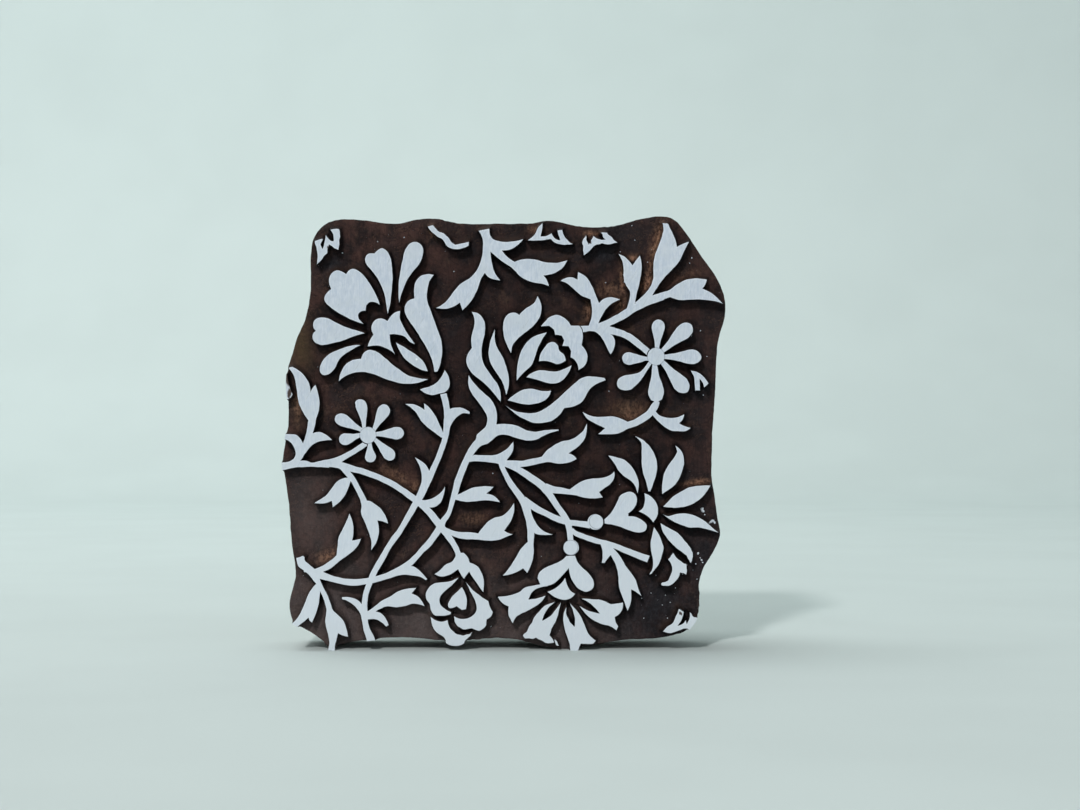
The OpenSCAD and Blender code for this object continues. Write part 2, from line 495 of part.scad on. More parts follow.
module stem_art() {
    // Stem from the tulip down to the foot
    stem([
        [-17.35, 73.3, 1.8], [-16.8, 71, 1.7], [-16.3, 67.5, 1.8], [-16.4, 64, 1.8], [-17.1, 60, 1.5],
        [-18.5, 56, 1.5], [-20.2, 52, 1.6], [-21.9, 48.3, 1.7], [-23.5, 45, 1.8], [-25.3, 42, 1.8],
        [-27.2, 38.6, 1.6], [-30, 34, 1.5], [-32.8, 30, 1.5], [-34.8, 26.6, 1.6], [-36.8, 23, 1.6],
        [-38.4, 19.5, 1.6], [-39.6, 16, 1.5], [-40, 12.5, 1.5], [-39.9, 9, 1.6], [-39.2, 5.8, 1.8], [-37.6, 2.2, 2.4]
    ]);
    // Stem from the left edge down to the bud
    stem([
        [-50, 53.5, 1.9], [-46, 52.7, 1.8], [-43, 51.8, 1.7], [-40, 51, 1.6], [-37, 49.9, 1.6], [-34, 48.6, 1.6],
        [-31, 47, 1.6], [-28.3, 45.2, 1.6], [-26, 43.5, 1.7], [-23.4, 41.4, 1.7], [-21.3, 39.4, 1.8],
        [-19.6, 37.3, 2], [-17.9, 35.1, 2], [-16.2, 33, 1.8], [-14.8, 30.9, 1.6], [-13.6, 28.8, 1.5],
        [-12.9, 26.8, 1.6]
    ]);
    // Stem from the rose down to the lower left leaves
    stem([
        [-6.9, 60.1, 2.6], [-8.7, 57.9, 2.1], [-10.4, 55.3, 1.8], [-11.6, 52.6, 1.8], [-12.7, 49.8, 1.9],
        [-13.6, 47, 1.8], [-14.4, 44.3, 1.5], [-15, 42, 1.3], [-15.6, 40, 1.2], [-16.5, 38.2, 1.5],
        [-17.8, 36.2, 1.9], [-19.3, 33.7, 1.8], [-20.7, 31.7, 1.7], [-22, 30.1, 1.7], [-23.6, 28.5, 1.5],
        [-25.1, 26.8, 1.5], [-26.8, 25.1, 1.7], [-29, 23.4, 2], [-31.3, 22.3, 1.9], [-34, 21.1, 1.6],
        [-37, 20.2, 1.6], [-40, 19.7, 1.7], [-43.5, 19.5, 1.8], [-47, 19.95, 1.7], [-50, 20.7, 1.8],
        [-52.5, 21.5, 2.2], [-54, 22, 2.4]
    ]);
    // Stem from the right-hand branch past the forked leaf
    stem([
        [-1.1, 53.9, 1.3], [-0.4, 51.9, 1.4], [0.5, 50, 1.4], [1.5, 48.2, 1.6], [2.9, 46.2, 1.7], [4.3, 44.3, 1.9],
        [5.6, 42.3, 2.1], [6.4, 40.2, 2.1], [7, 38, 2], [7.4, 35.8, 2], [7.6, 33.5, 1.9], [7.6, 31.5, 1.7],
        [7.5, 29.5, 1.6]
    ]);
    stem([
        [0.6, 53.4, 1.7], [3.4, 52, 1.7], [6.1, 50.4, 1.8], [9, 48.4, 2], [11.4, 46.5, 2.2], [13.1, 44.4, 1.9],
        [14.5, 42.2, 1.7], [15.9, 40.2, 1.7], [17.2, 38.3, 1.7], [18.2, 36.5, 1.8]
    ]);
    stem([
        [5.5, 43, 2.2], [8, 41.3, 1.9], [10, 40.1, 1.7], [12, 39.1, 1.6], [14, 38.1, 1.6], [16.2, 37.3, 1.7],
        [18.3, 36.8, 1.8]
    ]);
    // Stalk and ball of the pointed flower
    stem([[18.4, 36.6, 1.6], [20.5, 36.35, 1.5], [22.5, 36.05, 1.6], [24.5, 35.8, 1.9]]);
    ball([26.05, 36.7], 2.2);
    // Neck and ball of the bottom flower
    stem([[18.3, 37, 1.8], [18.5, 35, 1.7], [18.8, 33, 1.6], [19, 30.5, 1.6]]);
    ball([19.1, 29.4], 2.2);
    stem([
        [19.2, 34.4, 1.4], [20.6, 33.4, 1.4], [22.3, 32.7, 1.4], [24.4, 31.9, 1.4], [26.6, 31.2, 1.4],
        [29, 30.7, 1.4], [31.5, 29.9, 1.5], [34, 28.9, 1.6], [36.5, 27.9, 1.7], [39, 26.9, 1.8], [41.2, 26.1, 1.9]
    ]);
    // Thin stem of the left daisy
    stem([
        [-51, 53.4, 2.1], [-47.5, 54.3, 1.9], [-45, 55.7, 1.4], [-42.8, 56.95, 1.4], [-40.6, 58.4, 1.5],
        [-39.2, 59.4, 1.6]
    ]);
    // Thin stem of the lower leaves
    stem([
        [-47, 52.9, 1.8], [-45, 51, 1.7], [-43.4, 49.2, 1.4], [-42.2, 47, 1.4], [-41.1, 44.8, 1.5],
        [-40.2, 42.8, 1.7], [-39.6, 41, 2]
    ]);
    // Hook and forked leaf below the tulip
    land([
        k(-15.6, 69), [-14.3, 69.3], [-12.5, 69.3], [-11, 68.8], k(-9.9, 68.1), k(-9.9, 67.6), [-12, 67.7],
        [-13.6, 66.7], [-14.8, 65.2], k(-15.8, 62.8), k(-16.8, 63), k(-16.8, 69)
    ]);
    land([
        k(-28.2, 70.4), [-26, 70.3], [-24.3, 69.7], k(-22.8, 68.7), k(-22.9, 70.6), [-21.4, 69.3], [-19.8, 67.1],
        [-18.6, 64.8], k(-17.5, 62.2), k(-16.9, 61.5), k(-17.9, 60.8), [-19.4, 61.9], [-21.8, 63.7], [-23.7, 65.7],
        [-25.3, 68.2]
    ]);
    // Hooks at the crossing
    land([
        k(-21.4, 51.1), [-22.2, 52.7], [-23.4, 53.8], k(-25.5, 55.1), [-24.5, 53.3], [-23.7, 51], [-23.6, 48.6],
        [-24.3, 46.2], k(-25.3, 43.8), k(-24, 43.5), k(-21.5, 49.5)
    ]);
    land([
        k(-23.9, 43), [-21.7, 43.1], [-19.7, 43.9], [-18.1, 45.1], k(-17, 46.7), [-17.4, 44.2], [-18.3, 42.2],
        [-19.8, 41], k(-21.7, 40.8), k(-23.5, 41)
    ]);
    // Curved leaf beside the rose, down to its long leaf
    land([
        k(-10.1, 78.6), [-8.9, 76.7], [-7.2, 74.8], [-5, 72.8], [-3.1, 70.7], [-2.2, 68.3], k(-2.2, 64.6),
        k(-2.5, 62), k(-7, 59.5), k(-8.1, 59.7), [-7.9, 61.3], [-6.6, 62.7], [-5.2, 64.1], [-4.8, 66.2],
        [-5.8, 68.7], [-7.6, 71.2], [-9.3, 73.6], [-10.2, 76]
    ]);
    land([
        k(-2.2, 64.6), [1, 64.7], [4, 64], [6.3, 62.9], [8.8, 62.5], [12, 62.9], k(15.5, 63.1), k(15.6, 62.8),
        [13, 62.1], [10.8, 61.1], [8.8, 60.2], [6.5, 60], [4, 60.5], [1.5, 61.4], [-1, 61.7], [-2.8, 60.8],
        [-4.6, 59.2], k(-6.8, 58.4), k(-7.5, 60)
    ]);
    // Branch with a hook and a forked leaf under the rose
    land([
        k(-9.5, 55.1), [-8.7, 55.8], [-6.5, 55.8], [-4, 55.7], [-2, 56], [0, 57.1], [1.5, 58.4], k(2.6, 59.5),
        [2.4, 57.3], [1.6, 55.6], k(0.6, 54.3), [3, 54.2], [5.5, 54.2], [8, 54.8], k(10.8, 55.4), [12.3, 57.2],
        [14.2, 58.5], [16.5, 59.7], [18.8, 60.1], [21, 61.4], [22.5, 62.7], k(23.6, 64.7), [23.5, 62.2],
        [22.6, 60], [20.8, 58.1], k(18.3, 56.3), [19.7, 55.7], k(20.6, 54.7), [19.2, 54], [17, 53.4],
        [14.5, 53.5], [12.3, 53.9], k(10.7, 53.6), [8.5, 53], k(4.7, 52.4), k(1.5, 52), k(-1, 53.2),
        k(-2.2, 53.5), [-5, 53.9], [-8, 54.1], k(-10, 53.9)
    ]);
    land([
        k(12, 47.7), [14.5, 46.9], k(18.9, 46.1), [20.5, 47.3], [22.8, 48.5], [25.3, 49.1], [28, 49.3], [30, 50],
        k(31.5, 51.1), [31.4, 49.3], [30.2, 47.5], [28.5, 46.3], k(27.1, 45.2), k(28.2, 43.7), [26, 43.5],
        [23, 43.7], [20.5, 44.3], [17.5, 44.7], k(13.7, 45), k(12.5, 45)
    ]);
    // Forked leaf beside the middle stem
    land([
        k(-13.4, 44.5), [-11, 45.6], [-8.7, 46.5], [-6.3, 46.9], k(-3.1, 46.8), [-4, 45.8], k(-5.2, 44.8),
        [-3.6, 44.4], [-2.4, 43.8], k(-1.3, 42.4), [-3.5, 42.8], [-6.5, 42.8], [-9.5, 42.5], [-12, 42.7],
        k(-14, 43.2), k(-14.8, 44)
    ]);
    // Hook and forked leaf on the lower stem
    land([
        k(7.5, 40.8), [8.2, 38], [9.5, 35.7], [11.3, 34], k(13.7, 33.1), [11, 33], k(8.7, 33.6), k(7.4, 34.5),
        k(7, 39)
    ]);
    land([
        k(6.8, 31), [5.6, 29.9], [4.3, 28.3], [2.9, 25.8], [1.4, 23.5], k(-0.3, 21.4), [1.7, 21.7], [3.7, 22.5],
        k(5.4, 23.5), k(6.5, 22.2), [7.5, 24.2], [8.2, 26.6], [8.4, 28.6], k(8.1, 31)
    ]);
    // Leaf to the right of the second crossing
    land([
        k(-17.2, 35.7), [-15.5, 34.5], [-13, 33.9], [-10, 33.8], k(-7.4, 33.4), [-6.2, 34.9], [-4.7, 36.7],
        [-2.7, 37.9], [-0.6, 38.5], [1.3, 40], k(2.8, 42.1), [2.7, 39.3], [1.8, 37], k(0, 34.2), [1, 33.6],
        k(2.3, 33.2), [0.6, 32.5], [-1.5, 31.7], [-4, 31.4], [-7, 31.7], [-10, 31.8], [-12.5, 32],
        k(-14.9, 32.9), k(-17, 34)
    ]);
    // Hook and long forked leaf below the pointed flower
    land([
        k(27.5, 30.4), [28, 28.8], [28.1, 27], k(27.9, 25), k(28.6, 25), [29.5, 26.2], k(30.4, 27.3), [31.5, 25.3],
        [32.3, 23.3], [32.6, 21], [32.8, 18.5], [33.6, 15.9], [34.5, 13.5], k(35.3, 11.4), [35.9, 12.8],
        [36.3, 14.8], k(36.2, 17.5), [37.6, 16.8], k(39.2, 15.7), [38.3, 17.8], [37.4, 20.2], [36.1, 22.3],
        [34.7, 24.1], [33.4, 26.5], k(31, 29.3), k(29.5, 30.6)
    ]);
    // Forked leaf and stem end at the left edge
    land([
        k(-61.6, 80.7), [-60.6, 81], [-58.8, 80], [-57, 78.2], [-55.8, 76.2], k(-55.3, 73.5), [-54.9, 74.8],
        k(-54, 75.8), [-53.4, 74], [-52.9, 71.5], [-53, 68.8], [-53.8, 66.2], [-54.2, 64], k(-54.8, 61.9),
        [-53, 62.4], [-51.3, 61.8], k(-49.2, 60.2), [-51.5, 60], [-53.8, 59.4], [-55.6, 58], [-57, 56.2],
        k(-58.4, 54.1), k(-56.3, 54.1), [-55.1, 53.6], [-53, 54.1], k(-50, 54.6), k(-50, 52.3), [-54, 52.5],
        [-58, 52.4], [-61, 52.1], k(-65, 50.8), k(-65, 53.9), [-61.4, 54], [-60.1, 54.9], [-59.6, 56.3],
        [-60.3, 58.6], [-61.4, 59.8], k(-63.4, 60.6), k(-62.6, 61.4), [-61, 61.8], [-59.5, 61.6], [-58.4, 60.6],
        k(-57.5, 59), [-56.9, 60.8], [-56.4, 62.8], k(-55.9, 65.8), [-57.2, 67.7], [-58.5, 70.2], [-59.1, 73],
        [-59.5, 76.3], [-60.3, 79]
    ]);
    // Forked leaves below the left daisy
    land([
        k(-44.2, 49.5), [-46, 49.2], [-47.8, 48.2], [-49.2, 46.4], [-50.8, 44.4], [-52.5, 43.2], k(-54.2, 42.1),
        [-52, 42], k(-49.2, 42.8), k(-48.9, 41), [-47.2, 42.4], [-45.6, 44.3], [-44.6, 46.4], k(-43.7, 48.9)
    ]);
    land([
        k(-39, 42.8), [-37.2, 42], [-35.4, 40.5], [-34.1, 38.7], k(-33.3, 36.3), [-34.6, 36.8], k(-36.2, 37.2),
        [-35.9, 34.5], [-36.3, 31.5], k(-38, 28.7), [-38, 31.5], [-38.9, 34.3], [-40.1, 37.2], [-40.9, 39.8],
        [-40.7, 41.5], k(-40.9, 42.8)
    ]);
    // Forked leaf at the lower left
    land([
        k(-44.3, 39), [-43.4, 36.8], [-43.1, 34], k(-43.6, 31.3), k(-41, 31.8), [-41.8, 30.1], [-43.3, 28.4],
        [-45.3, 26.8], [-47.5, 25.3], [-49.5, 23.6], k(-52, 22.4), k(-53.5, 22), k(-54.2, 23.2), [-52, 24.1],
        [-49.8, 25.5], k(-47.9, 27.2), [-47.6, 29.5], [-47.2, 32.5], [-46, 34.9], [-45, 37]
    ]);
    // Stem end and the two leaves at the lower left corner
    land([
        k(-59.4, 26.4), k(-57.6, 26.9), [-57, 25.7], [-55.8, 24.6], k(-54.1, 23.2), k(-52, 22), k(-52.9, 20.6),
        [-51.8, 18.2], [-50.3, 15.2], k(-49, 11.6), [-47.6, 10.2], [-46, 8.4], [-45.2, 6.4], k(-44.7, 4),
        [-46, 4.3], k(-47.5, 5), [-48, 3], k(-48.8, -0.5), k(-50.4, -0.5), [-50, 2.5], [-50.6, 5.5],
        [-51.1, 8.5], [-50.8, 11.6], [-51.3, 14], k(-52.6, 17.1), [-52.8, 15], [-53.2, 12.5], [-54, 10],
        k(-54.9, 8), [-55.6, 8.6], k(-55.9, 9.5), [-57.2, 8.3], k(-58.9, 6.9), k(-60.2, 6.2), k(-61.2, 7),
        [-58.9, 9.5], [-57.7, 11.7], [-56.7, 14.2], [-55.4, 16.9], k(-53.7, 19), [-54.8, 20.3], [-55.9, 21.7],
        [-57.3, 22.9], [-58.7, 24]
    ]);
    // Hooks and forked leaf at the foot
    land([
        k(-40.8, 13.1), [-42, 14.4], [-43.9, 15.1], k(-46.3, 15.2), k(-46.3, 14.7), [-44, 13.7], [-42.2, 12.1],
        [-41, 10.2], k(-40.5, 8), k(-39.8, 8), k(-39.8, 13)
    ]);
    land([
        k(-39.2, 11.2), [-37.2, 12.5], [-35, 14.2], [-32.5, 15.4], [-30.3, 16.9], [-28, 17.6], k(-25.2, 17.8),
        k(-26.5, 16.3), [-24.5, 15.2], k(-22.8, 12.7), [-24.5, 13.2], [-26.3, 13.4], [-28.5, 12.7], [-31, 12.4],
        [-33.5, 12.6], [-35, 12.1], k(-36.8, 11.2), [-35.2, 10.6], [-34, 9.4], k(-33.1, 7.2), k(-33.7, 6.8),
        [-35, 8.1], [-36.8, 8.9], k(-39.1, 8.9), k(-40, 9), k(-40, 11)
    ]);
    land([
        k(-26.3, 24.1), [-24.5, 23.1], [-23.2, 21.8], k(-22.1, 20.4), k(-22.4, 20.1), [-24, 21.1], [-26.5, 21.5],
        [-29, 21.6], [-31.5, 21.1], k(-33.5, 20.4), k(-33, 22), k(-28, 24)
    ]);
    // Calyx of the bud
    land([
        k(-13.7, 27.6), [-14.2, 26.4], k(-14.9, 25.4), [-16.6, 24.6], [-18.2, 23.1], k(-19.9, 21.8), [-18.2, 21.2],
        [-16.2, 21.5], k(-13.2, 23.2), [-12.4, 21.8], k(-11.6, 20.4), k(-10.1, 22.6), [-8.6, 20.4], [-7.1, 18.2],
        k(-6, 16.7), [-5.8, 19], [-6.4, 21.9], [-7.8, 24.1], k(-10, 25.1), [-10.6, 26.8], k(-11.6, 27.9),
        k(-12.3, 27.9)
    ]);
}

// Ends of neighbouring repeats of the pattern, cut off by the edges of the block
module border_art() {
    // Leaf tips at the upper left corner
    land([
        k(-53.4, 110.5), [-53.3, 112.5], [-53.6, 115], k(-54.2, 117), [-53, 117.3], k(-51.9, 117.5), [-52.4, 116],
        k(-51.9, 114.6), [-51.3, 116.2], k(-50.9, 118.6), [-50.2, 117.6], k(-48.7, 116.8), [-48.8, 118.6],
        k(-49.6, 120.2), [-48.3, 120.4], k(-47.2, 120.3), [-46.9, 119.3], [-47.2, 117], k(-47.3, 114.4),
        [-48.6, 115.1], k(-50, 116), [-50.6, 113.9], [-52, 112]
    ]);
    // Curl and two crowns along the top
    land([
        k(-21.8, 121.2), [-20.8, 119.7], [-19, 118.3], [-17.4, 117.3], [-16.5, 115.8], [-15, 114.9], [-13, 114.7],
        k(-10.2, 115.7), k(-10.2, 116.7), [-12.3, 116.2], [-14, 115.9], [-15.1, 116.6], [-16, 118],
        [-17.8, 119.3], [-19.3, 120.3], k(-20.4, 121.5)
    ]);
    land([
        k(6.8, 117.2), [8.7, 118.9], [9.8, 121], k(10.9, 121.9), [10.8, 120.5], k(10.3, 118.3), [12, 118.4],
        k(13.5, 119.2), [14.5, 117.7], k(16, 117.2), k(15.3, 120), k(16.6, 120.2), [17, 118.8], [18.2, 117],
        k(19.5, 116.2), [16, 116.1], [14.3, 116.7], [13.2, 117.7], [11.5, 117.3], [9, 117.2]
    ]);
    land([
        k(22.7, 113), [22.6, 115.2], [22.5, 116.8], k(23.3, 118.5), [23.5, 117.5], k(24.2, 115.9), [25, 117.3],
        k(25.5, 118.3), [27, 117.4], k(29, 117.2), k(27.5, 119.3), k(29.4, 119.4), [30.3, 118.3], k(32.3, 116.6),
        [29, 116], [26.3, 116.2], [25, 115], [24, 114]
    ]);
    // Sliver on the left edge
    land([
        k(-64, 79), k(-62.1, 78.9), [-61.7, 76.5], [-61.2, 74.8], k(-60.6, 73.3), [-61, 72.4], k(-62, 71.8),
        k(-64, 71.8)
    ]);
    // Curl at the right
    land([
        k(53.3, 79.9), [54.9, 79.6], [56.6, 78.5], [57.9, 77.1], k(58.4, 76.3), k(57.2, 75.2), [56.9, 76.3],
        k(55.7, 77.8), [55.9, 76.2], k(55.9, 74.3), k(54.6, 74.3), [54.5, 76.3], [54.2, 78.2]
    ]);
    // Leaf tips at the lower right
    land([
        k(48.3, 27.8), [49.3, 26.4], [50.6, 25.4], k(52, 24.8), [52.1, 23.2], k(51.9, 21.7), k(50.2, 22.5),
        [49.9, 21.1], [48.9, 19.7], [47.3, 18.6], k(45, 18.7), k(45, 19), [46.8, 19.9], [47.7, 21.8], [48, 23.7],
        [47.5, 25], k(46.8, 26), [47.6, 26.7]
    ]);
    land([
        k(49.9, 11.8), k(51.4, 11), [50.9, 9.4], k(49.4, 7), [50.6, 7.3], k(51.9, 8.6), k(52.2, 7.4), [52.8, 8.6],
        k(52.9, 10.7), [53.8, 9.9], k(56, 9.2), k(54, 5), k(52.3, 6.3), k(51.2, 6.2), [49, 5.4], [47, 5],
        k(45.4, 5.4), [46.5, 6.6], [48.3, 7.9], [49.1, 9.7]
    ]);
    // Sliver beside the bottom flower
    land([k(14.4, 3.1), [15, 2.5], k(15.6, 1.4), k(15.1, 1.4), [14.6, 2.2]]);
}

module flower_art() {
    tulip_art();
    rose_art();
    right_daisy_art();
    left_daisy_art();
    pointed_flower_art();
    bottom_flower_art();
    bud_art();
}

// Stems and leaves, parted from the flowers by the finest knife cut
module part_from_flowers() {
    difference() {
        children();
        offset(delta = hair_cut) flower_art();
    }
}

module all_art() {
    flower_art();
    border_art();
    part_from_flowers() {
        top_branch_art();
        right_branch_art();
        stem_art();
    }
}

// Drawn outline of the block, from the left-hand bulge and on round clockwise
module drawn_outline() {
    land([
        [-63.3, 53.6], [-63.2, 56], [-62.6, 59.3], [-62, 62.8], [-61.7, 66.5], [-61.75, 71], [-62, 77.3],
        [-61.6, 81.5], [-60.5, 85.2], [-58.9, 90.2], [-57.2, 94], [-56.1, 98.2], [-55.4, 103.3], [-55.35, 109],
        [-55.3, 114], [-54.6, 117.7], [-53, 120.3], [-50.7, 122.1], [-47.5, 123.05], [-43.5, 123.1],
        [-39, 122.7], [-34, 122], [-30, 122], [-26, 122.9], [-22, 123.4], [-18, 123.1], [-14.5, 122.2],
        [-8.5, 121.8], [-2, 121.9], [4, 121.9], [8.5, 122.1], [12.5, 122.75], [16.5, 122.2], [20.5, 121.3],
        [25, 120.8], [29.5, 120.95], [33.5, 121.6], [37, 122.7], [40, 123.4], [43, 123.9], [45.5, 124],
        [47.6, 123.6], [49.5, 122.4], [51.2, 120.3], [54, 116.3], [57, 111.7], [59.8, 107.9], [61.8, 104.3],
        [62.9, 100.8], [63.2, 97.7], [62.7, 94.1], [61.5, 90.4], [60.8, 86.5], [60.5, 81], [60.3, 75.5],
        [59.95, 70], [59.5, 64], [59.25, 58], [59.15, 52], [59.25, 48.5], [59.9, 44.8], [60.4, 41], [61, 37],
        [61.5, 34.6], [61.6, 33], [60.9, 30.6], [59.4, 27.6], [57.5, 24.5], [56.2, 21.5], [55.55, 18.4],
        [55.75, 15], [55.4, 11.8], [54.7, 9], [53.3, 7], [51.6, 5.4], [49, 4.5], [45.5, 3.7], [41, 3.3],
        [36, 3.15], [32, 2.7], [27, 1.95], [23.5, 1.4], k(21.2, 0.9), k(20.5, 0), k(18.8, 0), [16, 0.35],
        [12, 1], [8, 2], [4, 2.95], [0, 3.4], [-4, 3.5], [-8, 3.15], k(-10.9, 2.7), [-12.4, 1.9], [-14, 1.6],
        [-15.6, 1.9], k(-17, 2.7), [-20, 3], [-24, 3.4], [-29, 3.7], [-34, 3.6], [-38.5, 3.1], [-43, 2.6],
        k(-47.7, 1.6), k(-49, 0), k(-50.1, 0), [-51.5, 2.1], [-54.1, 4.2], [-57, 5.95], k(-60.3, 7.8), [-61.1, 10],
        [-61.4, 12.6], [-60.9, 16], [-59.9, 19.7], [-59.65, 22.8], [-60.3, 27.3], [-60.9, 32], [-61.3, 37.5],
        [-61.8, 43.5], [-62.6, 49]
    ]);
}

// Sawn outline, with the tips that it stands on cut flat
module block_outline() {
    intersection() {
        offset(delta = saw_margin) drawn_outline();
        translate([-face_w, 0]) square([2 * face_w, 2 * face_w]);
    }
}

// Bodies

// Stands a drawing up between two depths measured from the printing face
module slab(from, to) {
    translate([0, y_front + to, 0])
        rotate([90, 0, 0])
            linear_extrude(to - from) children();
}

// Film on the lands of one motif, ending at the edge of the block
module coat() {
    color(chalk)
        slab(0, coat_t)
            offset(delta = knife_margin)
                intersection() {
                    children();
                    offset(delta = -knife_margin) block_outline();
                }
}

module carved_ground() {
    difference() {
        translate([-face_w, -face_w / 4]) square([2 * face_w, 1.5 * face_w]);
        offset(delta = knife_margin) all_art();
    }
}

module at_screws() {
    for (s = [-1, 1]) translate([s * screw_pitch / 2, 0, handle_z]) children();
}

// Round bar of two diameters from depth y towards the face
module bore(y, l, d1, d2) {
    translate([0, y, 0]) rotate([90, 0, 0]) cylinder(h = l, d1 = d1, d2 = d2, $fn = 2 * fine);
}

module carved_block() {
    pilot_d = screw_d + pilot_clearance;
    color(wood)
        difference() {
            slab(coat_t, block_t) block_outline();
            slab(coat_t - past, coat_t + relief_depth) carved_ground();
            at_screws() bore(y_back + past, past + screw_bite + pilot_spare, pilot_d, pilot_d);
        }
}

module rounded_box(a, b, r) {
    translate([r - a / 2, r - b / 2]) square([a - 2 * r, b - 2 * r]);
    translate([-a / 2, r - b / 2]) square([a, b - 2 * r]);
    translate([r - a / 2, -b / 2]) square([a - 2 * r, b]);
    for (x = [-1, 1], y = [-1, 1])
        translate([x * (a / 2 - r), y * (b / 2 - r)]) circle(r = r, $fn = 2 * fine);
}

module handle_bar() {
    hole_d = screw_d + shank_clearance;
    sink_d = head_d + sink_clearance;
    sink_depth = (sink_d - hole_d) / 2;
    color(bar_wood)
        difference() {
            intersection() {
                translate([0, y_end, handle_z]) rotate([90, 0, 0])
                    linear_extrude(handle_t) rounded_box(handle_len, handle_h, handle_end_r);
                // Section across the bar, with the palm edges rounded
                translate([-handle_len / 2, y_end - handle_t / 2 - palm_r, handle_z])
                    rotate([90, 0, 90])
                        linear_extrude(handle_len)
                            rounded_box(handle_t + 2 * palm_r, handle_h, palm_r);
            }
            for (s = [-1, 1])
                translate([-handle_len, y_back + groove_y, handle_z + s * (handle_h / 2 + groove_r - groove_depth)])
                    rotate([0, 90, 0]) cylinder(h = 2 * handle_len, r = groove_r, $fn = 4 * fine);
            at_screws() bore(y_end + past, handle_t + 2 * past, hole_d, hole_d);
            at_screws() bore(y_end - head_sink, sink_depth, sink_d, hole_d);
            at_screws() bore(y_end + past, past + head_sink, sink_d, sink_d);
        }
}

module handle_screws() {
    head_y = y_end - head_sink;
    head_len = (head_d - screw_d) / 2;
    shank_end = y_back - screw_bite + point_len;
    color(steel)
        at_screws()
            difference() {
                union() {
                    bore(head_y, head_len, head_d, screw_d);
                    bore(head_y - head_len, head_y - head_len - shank_end, screw_d, screw_d);
                    bore(shank_end, point_len, screw_d, screw_d / 4);
                }
                translate([-head_d, head_y - slot_depth, -slot_w / 2]) cube([2 * head_d, slot_depth + past, slot_w]);
            }
}

module tulip_coat() { coat() tulip_art(); }
module rose_coat() { coat() rose_art(); }
module right_daisy_coat() { coat() right_daisy_art(); }
module left_daisy_coat() { coat() left_daisy_art(); }
module pointed_flower_coat() { coat() pointed_flower_art(); }
module bottom_flower_coat() { coat() bottom_flower_art(); }
module bud_coat() { coat() bud_art(); }
module top_branch_coat() { coat() part_from_flowers() top_branch_art(); }
module right_branch_coat() { coat() part_from_flowers() right_branch_art(); }
module stem_coat() { coat() part_from_flowers() stem_art(); }
module border_coat() { coat() border_art(); }

carved_block();
handle_bar();
handle_screws();
tulip_coat();
rose_coat();
right_daisy_coat();
left_daisy_coat();
pointed_flower_coat();
bottom_flower_coat();
bud_coat();
top_branch_coat();
right_branch_coat();
stem_coat();
border_coat();
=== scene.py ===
# Looks of a hand-carved wooden printing block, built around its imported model.
# The model is in metres. The carving is worked out in millimetres on the face: x runs right, z runs up,
# and the carved face looks towards minus y.

import math

import bmesh
import bpy
import numpy as np
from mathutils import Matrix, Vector
from mathutils.geometry import delaunay_2d_cdt
from mathutils.kdtree import KDTree


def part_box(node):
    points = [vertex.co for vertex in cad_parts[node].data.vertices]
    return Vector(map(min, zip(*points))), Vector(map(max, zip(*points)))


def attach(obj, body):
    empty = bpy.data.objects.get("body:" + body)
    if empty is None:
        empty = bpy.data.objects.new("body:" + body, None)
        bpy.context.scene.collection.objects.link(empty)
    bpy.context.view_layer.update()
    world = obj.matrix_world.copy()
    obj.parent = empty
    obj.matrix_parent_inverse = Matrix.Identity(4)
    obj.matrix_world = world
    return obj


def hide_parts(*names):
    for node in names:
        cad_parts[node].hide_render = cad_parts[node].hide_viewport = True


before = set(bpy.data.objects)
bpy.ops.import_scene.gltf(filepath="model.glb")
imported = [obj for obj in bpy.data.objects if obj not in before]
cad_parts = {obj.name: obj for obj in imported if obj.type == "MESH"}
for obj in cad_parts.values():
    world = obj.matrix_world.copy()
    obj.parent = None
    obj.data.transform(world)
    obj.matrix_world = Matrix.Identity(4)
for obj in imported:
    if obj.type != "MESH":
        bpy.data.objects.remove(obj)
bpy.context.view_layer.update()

MM = 0.001

# Levels and sizes that the model gives, in millimetres
COATS = sorted(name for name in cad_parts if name.endswith("_coat"))
BLOCK_LOW, BLOCK_HIGH = (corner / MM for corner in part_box("carved_block"))
FACE_Y = (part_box(COATS[0])[0] / MM).y
LAND_Y = BLOCK_LOW.y
BACK_Y = BLOCK_HIGH.y

# How the curves are drawn, in millimetres and degrees
CURVE_STEP = 0.4
SHARP_TURN = 38
ROUND_TURN = 80
ARC_SHARE = 0.3
SAME_POINT = 0.12
SAME_LEVEL = 0.005
EDGE_TOUCH = 0.03
PUSH_OUT = 1.2
HAND_WOBBLE = 0.07
FINE_WOBBLE = 0.045
FRAY = 5
NIB_WIDTH = 0.45

# How the face is meshed, in millimetres and degrees
# Rows of points run beside the lands' edges, each at an offset outside them, and with room for its points.
WORN_ROW = 0.12
ROWS = ((0.18, 0.18), (0.4, 0.3), (0.7, 0.3), (-WORN_ROW, 0.15), (-0.36, 0.3))
ROW_KEPT = 0.93
FAN_STEP = 30
EDGE_ROW = 0.4
GRID = 0.7
GRID_CLEAR = 0.6
GRID_SHIFT = 0.25
FACE_GRAIN = 1e-5
BACK_GRID = 2.5
BACK_CLEAR = 0.4
BACK_GRAIN = 1e-6

# How the ground is cut and the lands are coated, in millimetres and degrees
WALL_RUN = 0.7
WALL_CURVE = 2.6
UPPER_SLOPE = 1.5
SCOOP_PITCH = 3.6
SCOOP_LEAN = 24
SCOOP_SHIFT = 0.45
SCOOP_DEPTH = 0.3
SWELL_DEPTH = 0.3
EDGE_DROP = 0.22
COAT_WEAR = 0.06
BEAD_WIDTH = 0.16
CROWD_CELL = 0.35
CROWD_REACH = 1.3
CROWD_SPAN = 12
INK_REACH = 1.15
# Below a land, the dark at its foot reaches further by this share: a painted shadow
PAINTED_SHADOW_REACH = 1.1
# Reach of the painted light on the ground above a land
LIGHT_REACH = 1.5

